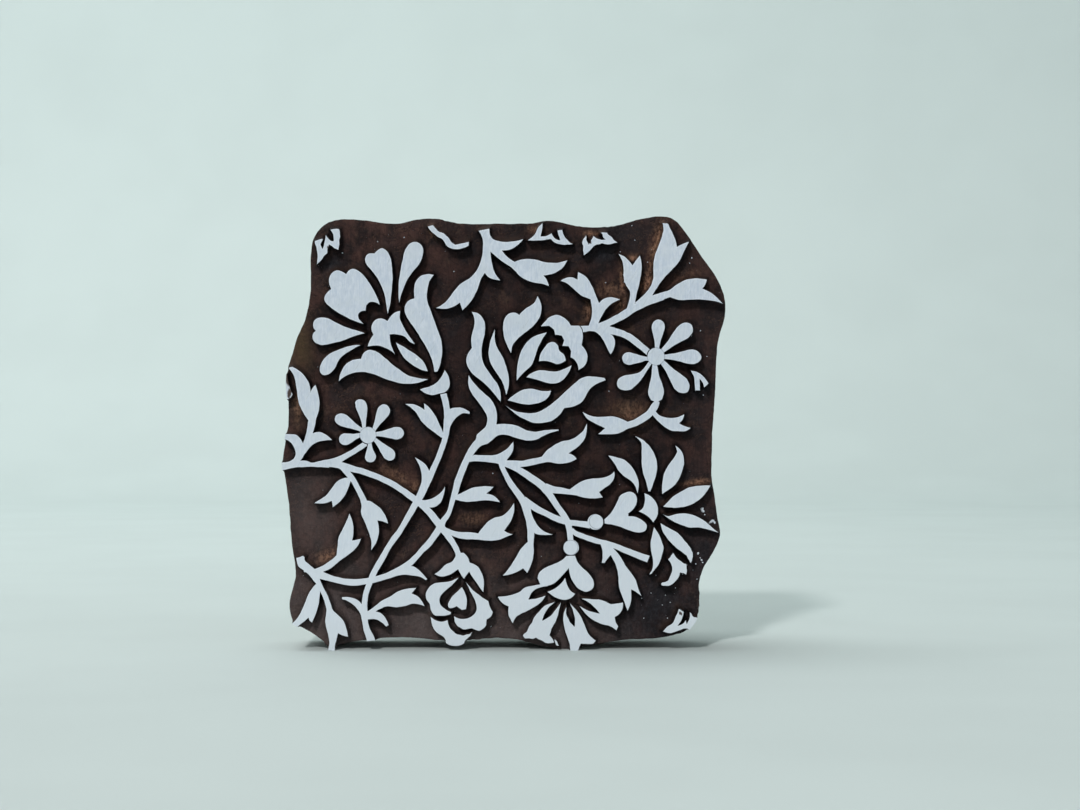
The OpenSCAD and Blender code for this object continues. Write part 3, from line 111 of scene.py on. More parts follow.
# How the sides and the back are sawn, in millimetres
SIDE_RINGS = 11
SAW_DEPTH = 0.09
BACK_SOFT = 0.5
DRAW_STEPS = 10
HOLE_REACH = 4

# Handle and screws, in millimetres
HANDLE_MESH = 0.55
HANDLE_WEAR = 8
HANDLE_DENT = 0.12
HANDLE_CORE = 34
SCREW_SIDES = 24
SCREW_STEP = 0.24
SCREW_PITCH = 1.9
SCREW_ROOT = 0.76
SCREW_NECK = 12
SCREW_POINT = 4
HEAD_EDGE = 0.12
SLOT_WIDE = 1
SLOT_DEPTH = 1.1

# Places on the face, in units of the block's width over 127.2
DRAWN = (BLOCK_HIGH.x - BLOCK_LOW.x) / 127.2
RING_MIDDLE = (-46, 150)
CENTRES = ((43.4, 84, 2.5), (-38.9, 61.5, 2.35), (26.5, 36.9, 2.15), (19, 29.4, 2.1))

# Places of stains, and of painted light and shade: [x, z], half width and half height, lean in degrees,
# strength
# Pale brown patches and strips: partly wood bared of ink, partly painted light where slopes beside the lands
# catch the lamp
BARE_WOOD_AND_PAINTED_LIGHT = (
    (43.8, 115, 1.6, 7, -13, 1), (41.8, 104.8, 1.9, 3.8, -8, 1), (31, 103, 4, 2.4, 0, 0.4),
    (24.6, 96.5, 1.5, 3.4, 0, 0.65), (37, 112.3, 1.2, 1, 0, 0.9), (34.2, 105.4, 0.9, 4.5, 6, 0.85),
    (33.2, 99, 1.6, 2, 30, 0.8), (36.5, 67.5, 5, 3, 0, 0.5), (33, 64.8, 3, 1.6, 0, 0.35),
    (22.5, 92, 2, 2, 0, 0.4), (9, 120.5, 2, 1, 0, 0.6), (25, 119.3, 2.2, 0.8, 0, 0.7),
    (-20.5, 120, 1.2, 1.8, 0, 0.6), (-50.5, 27, 3.8, 1.6, 25, 0.7), (-31, 49.5, 6, 2, -28, 0.4),
    (-26, 46.5, 1.6, 2.2, 0, 0.5), (-9, 37.5, 4, 1.6, 0, 0.35), (55.5, 48, 3.6, 0.7, 8, 0.95),
    (-59.5, 70, 1.2, 5, 0, 0.5), (-60.3, 103, 1, 8, 0, 0.4), (52, 106, 4, 2, 30, 0.3),
)
# Dark ink stains, and painted shadow in the band just below the top scraps
INK_AND_SHADOW_BLOTCHES = (
    (44, 11, 16, 12, 0, 0.9), (58, 24, 9, 12, 0, 0.8), (30, 118, 9, 6, 0, 0.5), (52, 42, 12, 12, 0, 0.6),
    (57, 80, 5, 16, 0, 0.3), (-14, 96, 5, 12, 0, 0.3), (-50, 110.3, 3.6, 1.8, 12, 1),
    (27.5, 113.3, 5.5, 2.2, 0, 0.9), (9.5, 111.5, 8, 2, -8, 0.8), (-24, 104, 3, 2, 0, 0.4),
)
FADED = (
    (-58.5, 87, 3.5, 7.5, 0, 1), (-58, 70, 3, 6, 0, 0.4), (36, 68, 6, 3, 0, 0.4),
)
BARE = (
    (-61.6, 77.8, 1.1, 2.6, 0, 1), (-61.4, 73.5, 0.8, 2.4, 0, 0.7), (50.4, 10.6, 0.6, 0.9, 30, 0.8),
    (-50.2, 115.2, 0.5, 0.9, 0, 0.6), (12.2, 117.4, 0.5, 0.8, 20, 0.55), (27.4, 117.8, 0.6, 0.6, 0, 0.5),
    (24.6, 116.7, 0.45, 0.9, 20, 0.75), (-18.3, 119.4, 0.5, 0.25, -40, 0.6),
    (11.2, 119.6, 0.35, 0.6, 0, 0.6),
)
DUSTY = (
    (-50, 10, 16, 18, 0, 1), (-18, 7, 20, 16, 0, 1), (12, 7, 17, 15, 0, 1), (-55, 38, 9, 15, 0, 0.5),
    (30, 4, 9, 8, 0, 0.5),
)

# Lands with a frayed edge: [x, z], half width and half height, lean in degrees, strength
RAGGED = (
    (-50, 116, 5, 4, 0, 1), (27, 118, 7, 4, 0, 1), (-17, 120.5, 5, 3, 0, 0.8), (53, 26, 4, 5, 0, 1),
    (55, 11, 6, 4, 0, 0.9), (-9, 5, 6, 4, 0, 0.6), (8, 6, 10, 5, 0, 0.7), (-58, 48, 3, 4, 0, 0.6),
    (45, 121, 3, 2, 0, 0.8),
)

# Nibs left by the knife on the cut lines: [x, z] and height
NIBS = (
    (41.8, 22, 0.3), (45.4, 19, 0.3), (-21, 33.6, 0.35), (-15, 36.9, 0.3), (-57.5, 26.5, 0.35),
    (34.1, 105.6, 0.25), (-19.8, 123, 0.35), (-17, 122.8, 0.25), (-2.5, 49.5, 0.25), (13.2, 66, 0.2),
    (24.5, 66.5, 0.25),
)

# Chalk crumbs: [x, z] and width
CRUMBS = (
    (56.8, 40.3, 1.1), (57.1, 39.6, 1), (56.9, 39.9, 1), (57.6, 38.6, 0.45), (59.4, 36.6, 1),
    (59.9, 36.8, 1.1), (60.4, 36.3, 0.9), (58.8, 36.3, 0.4), (55.7, 27.5, 0.75), (56.7, 25.6, 0.6),
    (57, 24.9, 0.5), (55, 24.5, 0.5), (56.3, 26.2, 0.4), (51.2, 21.6, 0.4), (43.6, 21.2, 0.3),
    (36.3, 12.8, 0.35), (42.2, 16.1, 0.3), (49.2, 17.6, 0.3), (46.9, 8.9, 0.4), (55.4, 20.1, 0.35),
    (52.3, 24.3, 0.35), (53.7, 90.1, 0.45), (39.5, 14.6, 0.35), (45.4, 12.7, 0.35), (47.7, 13.4, 0.3),
    (46.3, 15.5, 0.3), (40.1, 8.9, 0.35), (-57, 22.6, 0.6), (-56.4, 23.4, 0.4), (-3.8, 6.5, 0.35),
    (-15, 20.5, 0.4), (-46.5, 113.8, 0.4), (37.5, 117.5, 0.3), (36.7, 121.7, 0.35), (33.3, 114.1, 0.4),
    (41.2, 111.2, 0.3), (53.9, 112.4, 0.45), (34.3, 108.4, 0.35), (34.1, 107.3, 0.3), (34.4, 105.3, 0.4),
    (53.3, 110.9, 0.35), (30.1, 74.1, 0.35), (33.2, 82.9, 0.35), (-3.3, 50.5, 0.4), (29.1, 105.3, 0.35),
    (56.4, 91.5, 0.4), (58.2, 84.1, 0.35), (57.2, 73, 0.4), (-28.8, 118.3, 0.4), (-36.4, 117.1, 0.35),
    (-14.5, 108.5, 0.35),
)
DUST_PER_MM2 = 0.025


# Numbers on the face

def soft_noise(points, pitch, seed):
    """Smooth uneven field from -1 to 1 over [x, z] points, with hills about pitch apart."""
    side = 64
    lattice = np.random.default_rng(seed).uniform(-1, 1, (side, side))
    at = np.asarray(points) / pitch + side / 2
    cell = np.floor(at).astype(int)
    part = at - cell
    u, v = (part * part * (3 - 2 * part)).T
    (x, z), (x2, z2) = cell.T % side, (cell.T + 1) % side
    low = lattice[x, z] * (1 - u) + lattice[x2, z] * u
    high = lattice[x, z2] * (1 - u) + lattice[x2, z2] * u
    return low * (1 - v) + high * v


def unit(v):
    length = np.linalg.norm(v, axis=-1, keepdims=True)
    return v / np.maximum(length, 1e-9)


def to_right(way):
    """The ways turned a quarter to the right."""
    return np.stack([way[:, 1], -way[:, 0]], 1)


def turned(points, degrees):
    """The [x, z] points turned to the right about the origin."""
    turn = math.radians(degrees)
    return points @ np.array([[math.cos(turn), -math.sin(turn)], [math.sin(turn), math.cos(turn)]])


def inside(points, loops):
    """True for the points from which a ray crosses the loops an odd number of times."""
    start = np.concatenate(loops)
    end = np.concatenate([np.roll(loop, -1, 0) for loop in loops])
    slope = (end[:, 0] - start[:, 0]) / np.where(end[:, 1] == start[:, 1], 1e-12, end[:, 1] - start[:, 1])
    odd = np.zeros(len(points), bool)
    chunk = 4096
    for i in range(0, len(points), chunk):
        x, z = points[i:i + chunk].T[..., None]
        spans = (start[:, 1] > z) != (end[:, 1] > z)
        odd[i:i + chunk] = (spans & (x < start[:, 0] + slope * (z - start[:, 1]))).sum(1) % 2
    return odd


def tree_of(points):
    tree = KDTree(len(points))
    for i, p in enumerate(points):
        tree.insert((*p, 0), i)
    tree.balance()
    return tree


def nearest(tree, points):
    """The number of the tree's point nearest to each point, and how far off it is."""
    found = [tree.find((*p, 0)) for p in points]
    return np.array([hit[1] for hit in found], int), np.array([hit[2] for hit in found])


class Edges:
    """Loops of points, and the way to them."""

    def __init__(self, loops):
        self.at, self.before, self.after = (
            np.concatenate([np.roll(loop, step, 0) for loop in loops]) for step in (0, 1, -1)
        )
        self.tree = tree_of(self.at)

    def away(self, points):
        """The way from the nearest place on the loops to each point."""
        near, _ = nearest(self.tree, points)
        one = from_segment(points, self.before[near], self.at[near])
        two = from_segment(points, self.at[near], self.after[near])
        return np.where(((one * one).sum(1) < (two * two).sum(1))[:, None], one, two)

    def distance(self, points):
        return np.linalg.norm(self.away(points), axis=1)


def from_segment(points, a, b):
    along = b - a
    share = ((points - a) * along).sum(1) / np.maximum((along * along).sum(1), 1e-12)
    return points - a - np.clip(share, 0, 1)[:, None] * along


# Outlines taken from the model

def rows_of(items, label, kind=float):
    """Three numbers for each item of a mesh."""
    values = np.empty(3 * len(items), kind)
    items.foreach_get(label, values)
    return values.reshape(-1, 3)


def solid_of(name):
    """A model node's corners in millimetres, merged, and its triangles."""
    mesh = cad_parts[name].data
    mesh.calc_loop_triangles()
    tri = rows_of(mesh.loop_triangles, "vertices", int)
    corner = np.round(rows_of(mesh.vertices, "co") / MM, 3)
    spots, which = np.unique(corner, axis=0, return_inverse=True)
    return spots, which.reshape(-1)[tri]


def rim(faces):
    """Edges that only one face uses, in the direction of that face."""
    edges = dict.fromkeys((a, b) for f in faces.tolist() for a, b in zip(f, f[1:] + f[:1]))
    return [(a, b) for a, b in edges if (b, a) not in edges]


def ring_order(pairs):
    """The rim's points in order, as one loop for each rim."""
    follow = {}
    for a, b in pairs:
        follow.setdefault(a, []).append(b)
    loops = []
    while follow:
        first = at = min(follow)
        loop = []
        while at in follow and not (loop and at == first):
            loop.append(at)
            later = follow[at].pop()
            if not follow[at]:
                del follow[at]
            at = later
        loops.append(loop)
    return loops


def loops_at(name, level):
    """Outlines of a node's flat face at y = level, as [x, z] loops with the wood on their left."""
    spots, tri = solid_of(name)
    flat = tri[(np.abs(spots[tri][:, :, 1] - level) < SAME_LEVEL).all(1)]
    loops = [thinned(spots[ring][:, [0, 2]]) for ring in ring_order(rim(flat))]
    return [loop for loop in loops if len(loop) > 2]


def thinned(loop):
    """The loop without points that lie almost on the one before."""
    kept = [loop[0]]
    for p in loop[1:]:
        if np.linalg.norm(p - kept[-1]) > SAME_POINT:
            kept.append(p)
    if len(kept) > 1 and np.linalg.norm(kept[0] - kept[-1]) <= SAME_POINT:
        kept.pop()
    return np.array(kept)


def turns(loop):
    a = loop - np.roll(loop, 1, 0)
    b = np.roll(loop, -1, 0) - loop
    return np.degrees(np.arctan2(a[:, 0] * b[:, 1] - a[:, 1] * b[:, 0], (a * b).sum(1)))


def corners(loop):
    """True where the loop has a real corner, and not a point on a round stretch."""
    turn = turns(loop)
    sign = np.sign(turn)
    near = np.minimum(np.roll(turn, 1) * sign, np.roll(turn, -1) * sign)
    round_stretch = (near > ARC_SHARE * np.abs(turn)) & (np.abs(turn) < ROUND_TURN)
    return (np.abs(turn) > SHARP_TURN) & ~round_stretch


def smoothed(loop, sharp):
    """The loop redrawn in short steps as a smooth curve that keeps its sharp corners."""
    back, on = loop - np.roll(loop, 1, 0), np.roll(loop, -1, 0) - loop
    back_length = np.linalg.norm(back, axis=1, keepdims=True)
    on_length = np.linalg.norm(on, axis=1, keepdims=True)
    lean = unit(unit(back) * on_length + unit(on) * back_length)
    drawn = []
    for i in range(len(loop)):
        j = (i + 1) % len(loop)
        chord = loop[j] - loop[i]
        length = on_length[i, 0]
        lead, tail = lean[i] * length, lean[j] * length
        if sharp[i] and sharp[j]:
            lead = tail = chord
        elif sharp[i]:
            lead = 1.5 * chord - 0.5 * tail
        elif sharp[j]:
            tail = 1.5 * chord - 0.5 * lead
        parts = max(1, round(length / CURVE_STEP))
        t = np.arange(parts)[:, None] / parts
        drawn.append(
            (2 * t ** 3 - 3 * t ** 2 + 1) * loop[i] + (t ** 3 - 2 * t ** 2 + t) * lead
            + (3 * t ** 2 - 2 * t ** 3) * loop[j] + (t ** 3 - t ** 2) * tail
        )
    return thinned(np.concatenate(drawn))


def hand_cut(points):
    """The points with the small unevenness of a line cut by hand."""
    away = np.stack([soft_noise(points, 2.3, seed) for seed in (11, 12)], 1)
    nicks = np.stack([soft_noise(points, 0.9, seed) for seed in (13, 14)], 1)
    outward = to_right(unit(np.roll(points, -1, 0) - np.roll(points, 1, 0)))
    nicks *= 1 + FRAY * blotches(points, RAGGED)[:, None]
    nib = np.zeros(len(points))
    for x, z, height in NIBS:
        nib += height * np.exp(-(((points - (x * DRAWN, z * DRAWN)) / NIB_WIDTH) ** 2).sum(1))
    return points + HAND_WOBBLE * away + FINE_WOBBLE * nicks + outward * nib[:, None]


def block_outline():
    loop = max(loops_at("carved_block", BACK_Y), key=len)
    return loop, hand_cut(smoothed(loop, corners(loop)))


def pilot_holes():
    return sorted(loops_at("carved_block", BACK_Y), key=len)[:-1]


def land_loops(name, rough_outline):
    """The node's outlines, smoothed. Where they lie on the block's edge, they run on past it."""
    edge = Edges([rough_outline])
    drawn = []
    for loop in loops_at(name, FACE_Y):
        at_edge = edge.distance(loop) < EDGE_TOUCH
        sharp = corners(loop) | at_edge
        if at_edge.any():
            near, _ = nearest(edge.tree, loop)
            outward = to_right(unit(edge.after[near] - edge.before[near]))
            outward *= np.where(inside(loop + 0.3 * outward, [rough_outline]), -1, 1)[:, None]
            loop = loop + PUSH_OUT * outward * at_edge[:, None]
        drawn.append(hand_cut(smoothed(loop, sharp)))
    return drawn


# The carved face, as one sheet of triangles

def row_points(loops, offset):
    """Points beside the loops, at offset to their right, with a fan round each outer corner."""
    found = []
    for loop in loops:
        on = unit(np.roll(loop, -1, 0) - loop)
        back = np.roll(on, 1, 0)
        turn = turns(loop)
        for i, p in enumerate(loop):
            rays = 1 + int(max(turn[i], 0) // FAN_STEP)
            for j in range(rays):
                share = j / (rays - 1) if rays > 1 else 0.5
                way = unit(back[i] * (1 - share) + on[i] * share + 1e-6)
                found.append((p[0] + way[1] * offset, p[1] - way[0] * offset))
    return np.array(found)


def spread(points, room):
    """The points, with only one kept in each square of side room."""
    cell = np.floor(points / room).astype(int)
    first = np.unique(cell, axis=0, return_index=True)[1]
    return points[np.sort(first)]


def grid_over(low, high, step):
    return np.stack(np.meshgrid(*(np.arange(a, b, step) for a, b in zip(low, high))), -1).reshape(-1, 2)


def face_points(all_loops, outline, edges):
    """Loose points: rows along the walls and along the edge, and a grid between."""
    parts = []
    for offset, room in ROWS:
        row = spread(row_points(all_loops, offset), room)
        parts.append(row[edges.distance(row) > ROW_KEPT * abs(offset)])
    row, other_side = (row_points([outline[::2]], offset) for offset in (EDGE_ROW, -EDGE_ROW))
    row = np.where(inside(row, [outline])[:, None], row, other_side[:len(row)])
    parts.append(row[edges.distance(row) > 0.3])
    grid = grid_over(outline.min(0), outline.max(0), GRID)
    grid += np.random.default_rng(5).uniform(-GRID_SHIFT, GRID_SHIFT, grid.shape) * GRID
    parts.append(grid[(edges.distance(grid) > GRID_CLEAR * GRID)])
    loose = np.concatenate(parts)
    loose = loose[inside(loose, [outline])]
    return loose[Edges([outline]).distance(loose) > 0.2]


def triangulated(loops, loose, grain):
    """Points, triangles and the loops' edges of a sheet over the loops and the loose points."""
    limits = []
    start = 0
    for loop in loops:
        limits += [(start + i, start + (i + 1) % len(loop)) for i in range(len(loop))]
        start += len(loop)
    points = [Vector(p) for p in np.concatenate([*loops, loose])]
    spots, pairs, faces, _, pair_from, _ = delaunay_2d_cdt(points, limits, [], 0, grain)
    walls = {tuple(sorted(pair)) for pair, source in zip(pairs, pair_from) if source}
    return np.array([tuple(p) for p in spots]), np.array(faces), walls


def knit(lands, outline):
    """The face's triangles and their kind: 0 for the ground, 1 and up for each node's lands."""
    all_loops = [loop for loops in lands.values() for loop in loops]
    edges = Edges(all_loops)
    loose = face_points(all_loops, outline, edges)
    spots, faces, walls = triangulated([outline] + all_loops, loose, FACE_GRAIN)
    patch = patches(faces, walls)
    kind = np.full(len(faces), -1)
    area = np.abs(turned_areas(spots, faces))
    for number in np.unique(patch):
        members = np.flatnonzero(patch == number)
        centre = spots[faces[members[np.argmax(area[members])]]].mean(0, keepdims=True)
        if inside(centre, [outline])[0]:
            around = [i for i, loops in enumerate(lands.values(), 1) if inside(centre, loops)[0]]
            kind[members] = max(around, default=0)
    kept = kind >= 0
    return spots, faces[kept], kind[kept], edges


def turned_areas(spots, faces):
    """The triangles' areas, over 0 for those that run anticlockwise."""
    a, b, c = (spots[faces[:, i]] for i in range(3))
    return ((b[:, 0] - a[:, 0]) * (c[:, 1] - a[:, 1]) - (b[:, 1] - a[:, 1]) * (c[:, 0] - a[:, 0])) / 2


def patches(faces, walls):
    """Numbers the patches of triangles that no wall parts, each after its first triangle."""
    across = {}
    for number, (a, b, c) in enumerate(faces.tolist()):
        for pair in ((a, b), (b, c), (c, a)):
            key = tuple(sorted(pair))
            if key not in walls:
                across.setdefault(key, []).append(number)
    beside = [[] for _ in faces]
    for pair in across.values():
        if len(pair) == 2:
            beside[pair[0]].append(pair[1])
            beside[pair[1]].append(pair[0])
    patch = np.full(len(faces), -1)
    for start in range(len(faces)):
        stack = [start] if patch[start] < 0 else []
        while stack:
            at = stack.pop()
            patch[at] = start
            stack += [other for other in beside[at] if patch[other] < 0]
    return patch


def crowding(spots, faces, kind):
    """For each point, how much of the wood around it is land, from 0 to 1."""
    low = spots.min(0) - 4 * CROWD_REACH
    size = np.ceil((spots.max(0) + 4 * CROWD_REACH - low) / CROWD_CELL).astype(int)
    land = np.zeros(size)
    centre, at = (tuple(((p - low) / CROWD_CELL).astype(int).T) for p in (spots[faces].mean(1), spots))
    np.add.at(land, centre, np.abs(turned_areas(spots, faces)) * (kind > 0))
    reach = np.arange(-CROWD_SPAN, CROWD_SPAN + 1) * CROWD_CELL
    bell = np.exp(-(reach / CROWD_REACH) ** 2 / 2)
    bell /= bell.sum()
    for axis in (0, 1):
        land = np.apply_along_axis(np.convolve, axis, land, bell, "same")
    return np.clip(land[at] / CROWD_CELL ** 2, 0, 1)


def scoops(points):
    """Shallow overlapping gouge cuts: 0 in the middle of a cut, up to 1 on the ridges between."""
    places = turned(points, SCOOP_LEAN) * (1, 0.45) / SCOOP_PITCH
    reach = int(np.abs(places).max()) + 2
    centres = grid_over([-reach] * 2, [reach + 1] * 2, 1)
    centres = centres + np.random.default_rng(8).uniform(-SCOOP_SHIFT, SCOOP_SHIFT, centres.shape)
    return np.minimum(nearest(tree_of(centres), places)[1], 1) ** 2


def ground_level():
    """The y of the carved ground: the block's widest flat between the lands and the back."""
    spots, tri = solid_of("carved_block")
    flat = tri[np.ptp(spots[tri][:, :, 1], axis=1) < SAME_LEVEL]
    level = spots[flat[:, 0], 1]
    area = np.abs(turned_areas(spots[:, [0, 2]], flat))
    between = (level > LAND_Y + 0.5) & (level < BACK_Y - 0.5)
    levels = np.unique(np.round(level[between], 2))
    return max(levels, key=lambda y: area[np.abs(level - y) < 0.01].sum())


def facing(away, x, z):
    """How far each way points along [x, z], from 0 to 1."""
    return np.clip(away @ (x, z) / np.maximum(np.linalg.norm(away, axis=1), 0.001), 0, 1)


def carved_depths(spots, away, ridge, land_spot, border_spot):
    """The y of the carved face. The ground rises more gently above a land than below it."""
    run = WALL_RUN * (1 + UPPER_SLOPE * facing(away, 0, 1))
    reach = np.clip(np.linalg.norm(away, axis=1) / run, 0, 1)
    wall = 1 - (1 - reach) ** WALL_CURVE
    cut = SCOOP_DEPTH * ridge + SWELL_DEPTH * soft_noise(spots, 9, 3) + 0.05 * soft_noise(spots, 1.6, 4)
    y = LAND_Y + wall * (ground_level() - LAND_Y - 0.5 * reach * (cut + SCOOP_DEPTH))
    return np.where(land_spot, LAND_Y, y + np.where(border_spot, EDGE_DROP, 0))


def painted_light_above_lands(away):
    """Where light is painted on the ground: 1 just above a land, where the ground would catch the light, and
    0 from about 2 mm away.
    """
    return facing(away, -0.35, 1) * np.exp(-(np.linalg.norm(away, axis=1) / LIGHT_REACH) ** 2)


def foot_ink_and_painted_shadow(away):
    """1 at the foot of a land, where ink gathers, and 0 from about 2 mm away; below a land it reaches
    further, as a painted shadow cast downwards.
    """
    reach = INK_REACH * (1 + PAINTED_SHADOW_REACH * facing(away, 0, -1))
    return np.exp(-(np.linalg.norm(away, axis=1) / reach) ** 2)


def blotches(spots, places):
    """Soft oval patches at the places of a stain."""
    amount = np.zeros(len(spots))
    for x, z, wide, tall, lean, strength in places:
        off = turned(spots - (x * DRAWN, z * DRAWN), lean) / (wide, tall)
        amount = np.maximum(amount, strength * np.exp(-(off ** 2).sum(1)))
    return amount


# Meshes

def as_mesh(name, points, faces, **numbers):
    """A mesh from points in millimetres, with named numbers on its points."""
    mesh = bpy.data.meshes.new(name)
    mesh.from_pydata((np.asarray(points) * MM).tolist(), [], np.asarray(faces).tolist())
    mesh.validate()
    for label, values in numbers.items():
        mesh.attributes.new(label, "FLOAT", "POINT").data.foreach_set("value", np.asarray(values, np.float32))
    return mesh


def linked(name, data):
    """A new object at the origin, in the scene."""
    thing = bpy.data.objects.new(name, data)
    bpy.context.scene.collection.objects.link(thing)
    return thing


def shade(mesh, angle=None):
    """Shades the mesh smooth, but for edges where it turns by more than the angle."""
    mesh.shade_smooth()
    if angle is not None:
        mesh.set_sharp_from_angle(angle=math.radians(angle))


def make_piece(name, points, faces, material, angle=None, **numbers):
    mesh = as_mesh(name, points, faces, **numbers)
    mesh.materials.append(material)
    shade(mesh, angle)
    return linked(name, mesh)


def fit(piece, slot, *nodes):
    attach(piece, "root")
    if nodes:
        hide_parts(*nodes)


def mended(mesh, grain=1e-7):
    """The mesh with its points joined that lie within the grain, and with its faces turned outwards."""
    work = bmesh.new()
    work.from_mesh(mesh)
    bmesh.ops.remove_doubles(work, verts=work.verts, dist=grain)
    bmesh.ops.recalc_face_normals(work, faces=work.faces)
    work.to_mesh(mesh)
    work.free()
    return mesh


def facing_front(spots, faces):
    """The triangles, turned so that they look towards minus y."""
    return np.where((turned_areas(spots, faces) < 0)[:, None], faces[:, ::-1], faces)


def packed(faces):
    """Renumbers the faces' points from 0, with the list of points in use."""
    used, small = np.unique(faces, return_inverse=True)
    return used, small.reshape(faces.shape)


def raised(place, y):
    """[x, y, z] points from [x, z] ones and their y."""
    return np.stack([place[:, 0], np.broadcast_to(y, len(place)), place[:, 1]], 1)


def within(points):
    """The points, kept inside the block's width and height."""
    low, high = ((corner.x, end, corner.z) for corner, end in ((BLOCK_LOW, -np.inf), (BLOCK_HIGH, np.inf)))
    return np.clip(points, low, high)


def bridge(a, b):
    """Triangles between two rings of equal length."""
    a2, b2 = np.roll(a, -1), np.roll(b, -1)
    return np.concatenate([np.stack([a, b, a2], 1), np.stack([a2, b, b2], 1)])


def fan(ring, middle):
    """Triangles between a ring and a point in its middle."""
    return np.stack([ring, np.roll(ring, -1), np.full(len(ring), middle)], 1)


class Shell:
    """Points and triangles gathered one after another."""

    def __init__(self):
        self.points = np.empty((0, 3))
        self.faces = np.empty((0, 3), int)

    def add(self, points):
        """Adds points, and gives their numbers."""
        start = len(self.points)
        self.points = np.concatenate([self.points, points])
        return np.arange(start, len(self.points))

    def join(self, faces):
        self.faces = np.concatenate([self.faces, faces])


def inset(loop, amount):
    """The loop of points drawn in by amount; the loop has the wood on its left."""
    return loop - amount * to_right(unit(np.roll(loop, -1, 0) - np.roll(loop, 1, 0)))


def drawn_in(loop, amount):
    """The loop drawn in by small softened steps, so that it doesn't cross itself at a corner."""
    for _ in range(DRAW_STEPS):
        loop = inset(loop, amount / DRAW_STEPS)
        loop = (np.roll(loop, 1, 0) + 2 * loop + np.roll(loop, -1, 0)) / 4
    return loop


def sawn(loop, along, level):
    """The loop at a level of the sides, drawn in a little by the strokes of the saw."""
    strokes = soft_noise(np.stack([along, level * 0.15], 1), 0.9, 21) * 0.6
    strokes += soft_noise(np.stack([along * 0.2, level], 1), 1.1, 22) * 0.4
    return loop + (inset(loop, 1) - loop) * (SAW_DEPTH * (0.5 + 0.5 * strokes))[:, None]


def back_sheet(outer, holes):
    """Triangles of the back between the outline and the pilot holes, looking towards plus y."""
    def on_back(points):
        return inside(points, [outer]) & ~np.any([inside(points, [hole]) for hole in holes], axis=0)

    rows = [outer] + holes
    grid = grid_over(outer.min(0), outer.max(0), BACK_GRID)
    grid = grid[(Edges(rows).distance(grid) > BACK_CLEAR * BACK_GRID) & on_back(grid)]
    spots, faces, _ = triangulated(rows, grid, BACK_GRAIN)
    return spots, facing_front(spots, faces[on_back(spots[faces].mean(1))])[:, ::-1]


def pilot_floor():
    """The y of the pilot holes' floors, the deepest level near a hole's middle."""
    spots, _ = solid_of("carved_block")
    near = np.linalg.norm(spots[:, [0, 2]] - pilot_holes()[0].mean(0), axis=1) < HOLE_REACH
    return spots[near & (spots[:, 1] > ground_level() + 1)][:, 1].min()


def add_sides(shell, before, loop, front):
    """Adds the sawn sides, ring by ring, and gives the last ring's numbers."""
    along = np.concatenate([[0], np.cumsum(np.linalg.norm(np.diff(loop, axis=0), axis=1))])
    for ring in range(1, SIDE_RINGS + 1):
        level = front + (BACK_Y - BACK_SOFT - front) * (ring / SIDE_RINGS) ** 1.15
        here = shell.add(raised(sawn(loop, along, level), level))
        shell.join(bridge(before, here))
        before = here
    return before


def add_back(shell, before, outer):
    """Adds the back inside the softened edge, with its pilot holes and their floors."""
    holes = pilot_holes()
    spots, faces = back_sheet(outer, holes)
    here = shell.add(raised(spots, BACK_Y))
    shell.join(faces + here[0])
    shell.join(bridge(before, here[:len(outer)]))
    start = len(outer)
    for hole in holes:
        floor = shell.add(raised(hole, pilot_floor()))
        middle = shell.add(raised(hole.mean(0, keepdims=True), pilot_floor()))
        shell.join(bridge(here[start:start + len(hole)], floor))
        shell.join(fan(floor, middle[0]))
        start += len(hole)


def carved_block(sheet, material):
    """The slab: carved face, sawn sides, and the back with its two pilot holes. Gives the face's y."""
    spots, faces, kind, edges = sheet
    rim_loop = max(ring_order(rim(faces)), key=len)
    on_rim, on_land = np.zeros((2, len(spots)), bool)
    on_rim[rim_loop] = True
    on_land[faces[kind > 0]] = True
    away = edges.away(spots)
    ridge = scoops(spots)
    y = carved_depths(spots, away, ridge, on_land, on_rim)
    used, small = packed(faces)
    shell = Shell()
    shell.add(raised(spots[used], y[used]))
    shell.join(small)
    loop = spots[rim_loop]
    before = add_sides(shell, np.searchsorted(used, rim_loop), loop, y[rim_loop])
    add_back(shell, before, drawn_in(loop, BACK_SOFT))
    marks = {
        "crowd": crowding(spots, faces, kind), "painted_light_slope": painted_light_above_lands(away), "foot": foot_ink_and_painted_shadow(away),
        "ridge": ridge,
    }
    # The rubbed marks are partly painted light, and the ink marks partly painted shadow
    for label, places in (("rubbed", BARE_WOOD_AND_PAINTED_LIGHT), ("ink_and_shadow_blotches", INK_AND_SHADOW_BLOTCHES), ("faded", FADED), ("dusty", DUSTY)):
        marks[label] = blotches(spots, places)
    behind = np.zeros(len(shell.points) - len(used))
    marks = {label: np.concatenate([amount[used], behind]) for label, amount in marks.items()}
    piece = make_piece("block", within(shell.points), shell.faces, material, 50, **marks)
    mended(piece.data)
    fit(piece, "block_wood", "carved_block")
    return y


def chalk_coat(name, number, sheet, material):
    """The white coat on one motif's lands, worn round at its edges with a bead just inside them."""
    spots, faces, kind, edges = sheet
    used, small = packed(facing_front(spots, faces[kind == number]))
    place = spots[used]
    a, b = np.array(rim(small)).T
    worn = np.zeros(len(used))
    worn[a] = COAT_WEAR
    bead = np.exp(-((edges.distance(place) - WORN_ROW) / BEAD_WIDTH) ** 2)
    brush = 0.014 * (1 + soft_noise(place * (1, 0.3), 0.9, 31)) + 0.02 * (1 - bead)
    points = np.concatenate([raised(place, FACE_Y + brush + worn), raised(place, LAND_Y)])
    count = len(used)
    walls = np.concatenate([np.stack([b, a, a + count], 1), np.stack([b, a + count, b + count], 1)])
    all_faces = np.concatenate([small, small[:, ::-1] + count, walls])
    marks = {"bead": np.tile(bead, 2), "bare": np.tile(blotches(place, BARE), 2)}
    piece = make_piece(name.replace("_coat", "_chalk"), within(points), all_faces, material, 40, **marks)
    mended(piece.data)
    fit(piece, "chalk_coat", name)


# Trees of nodes

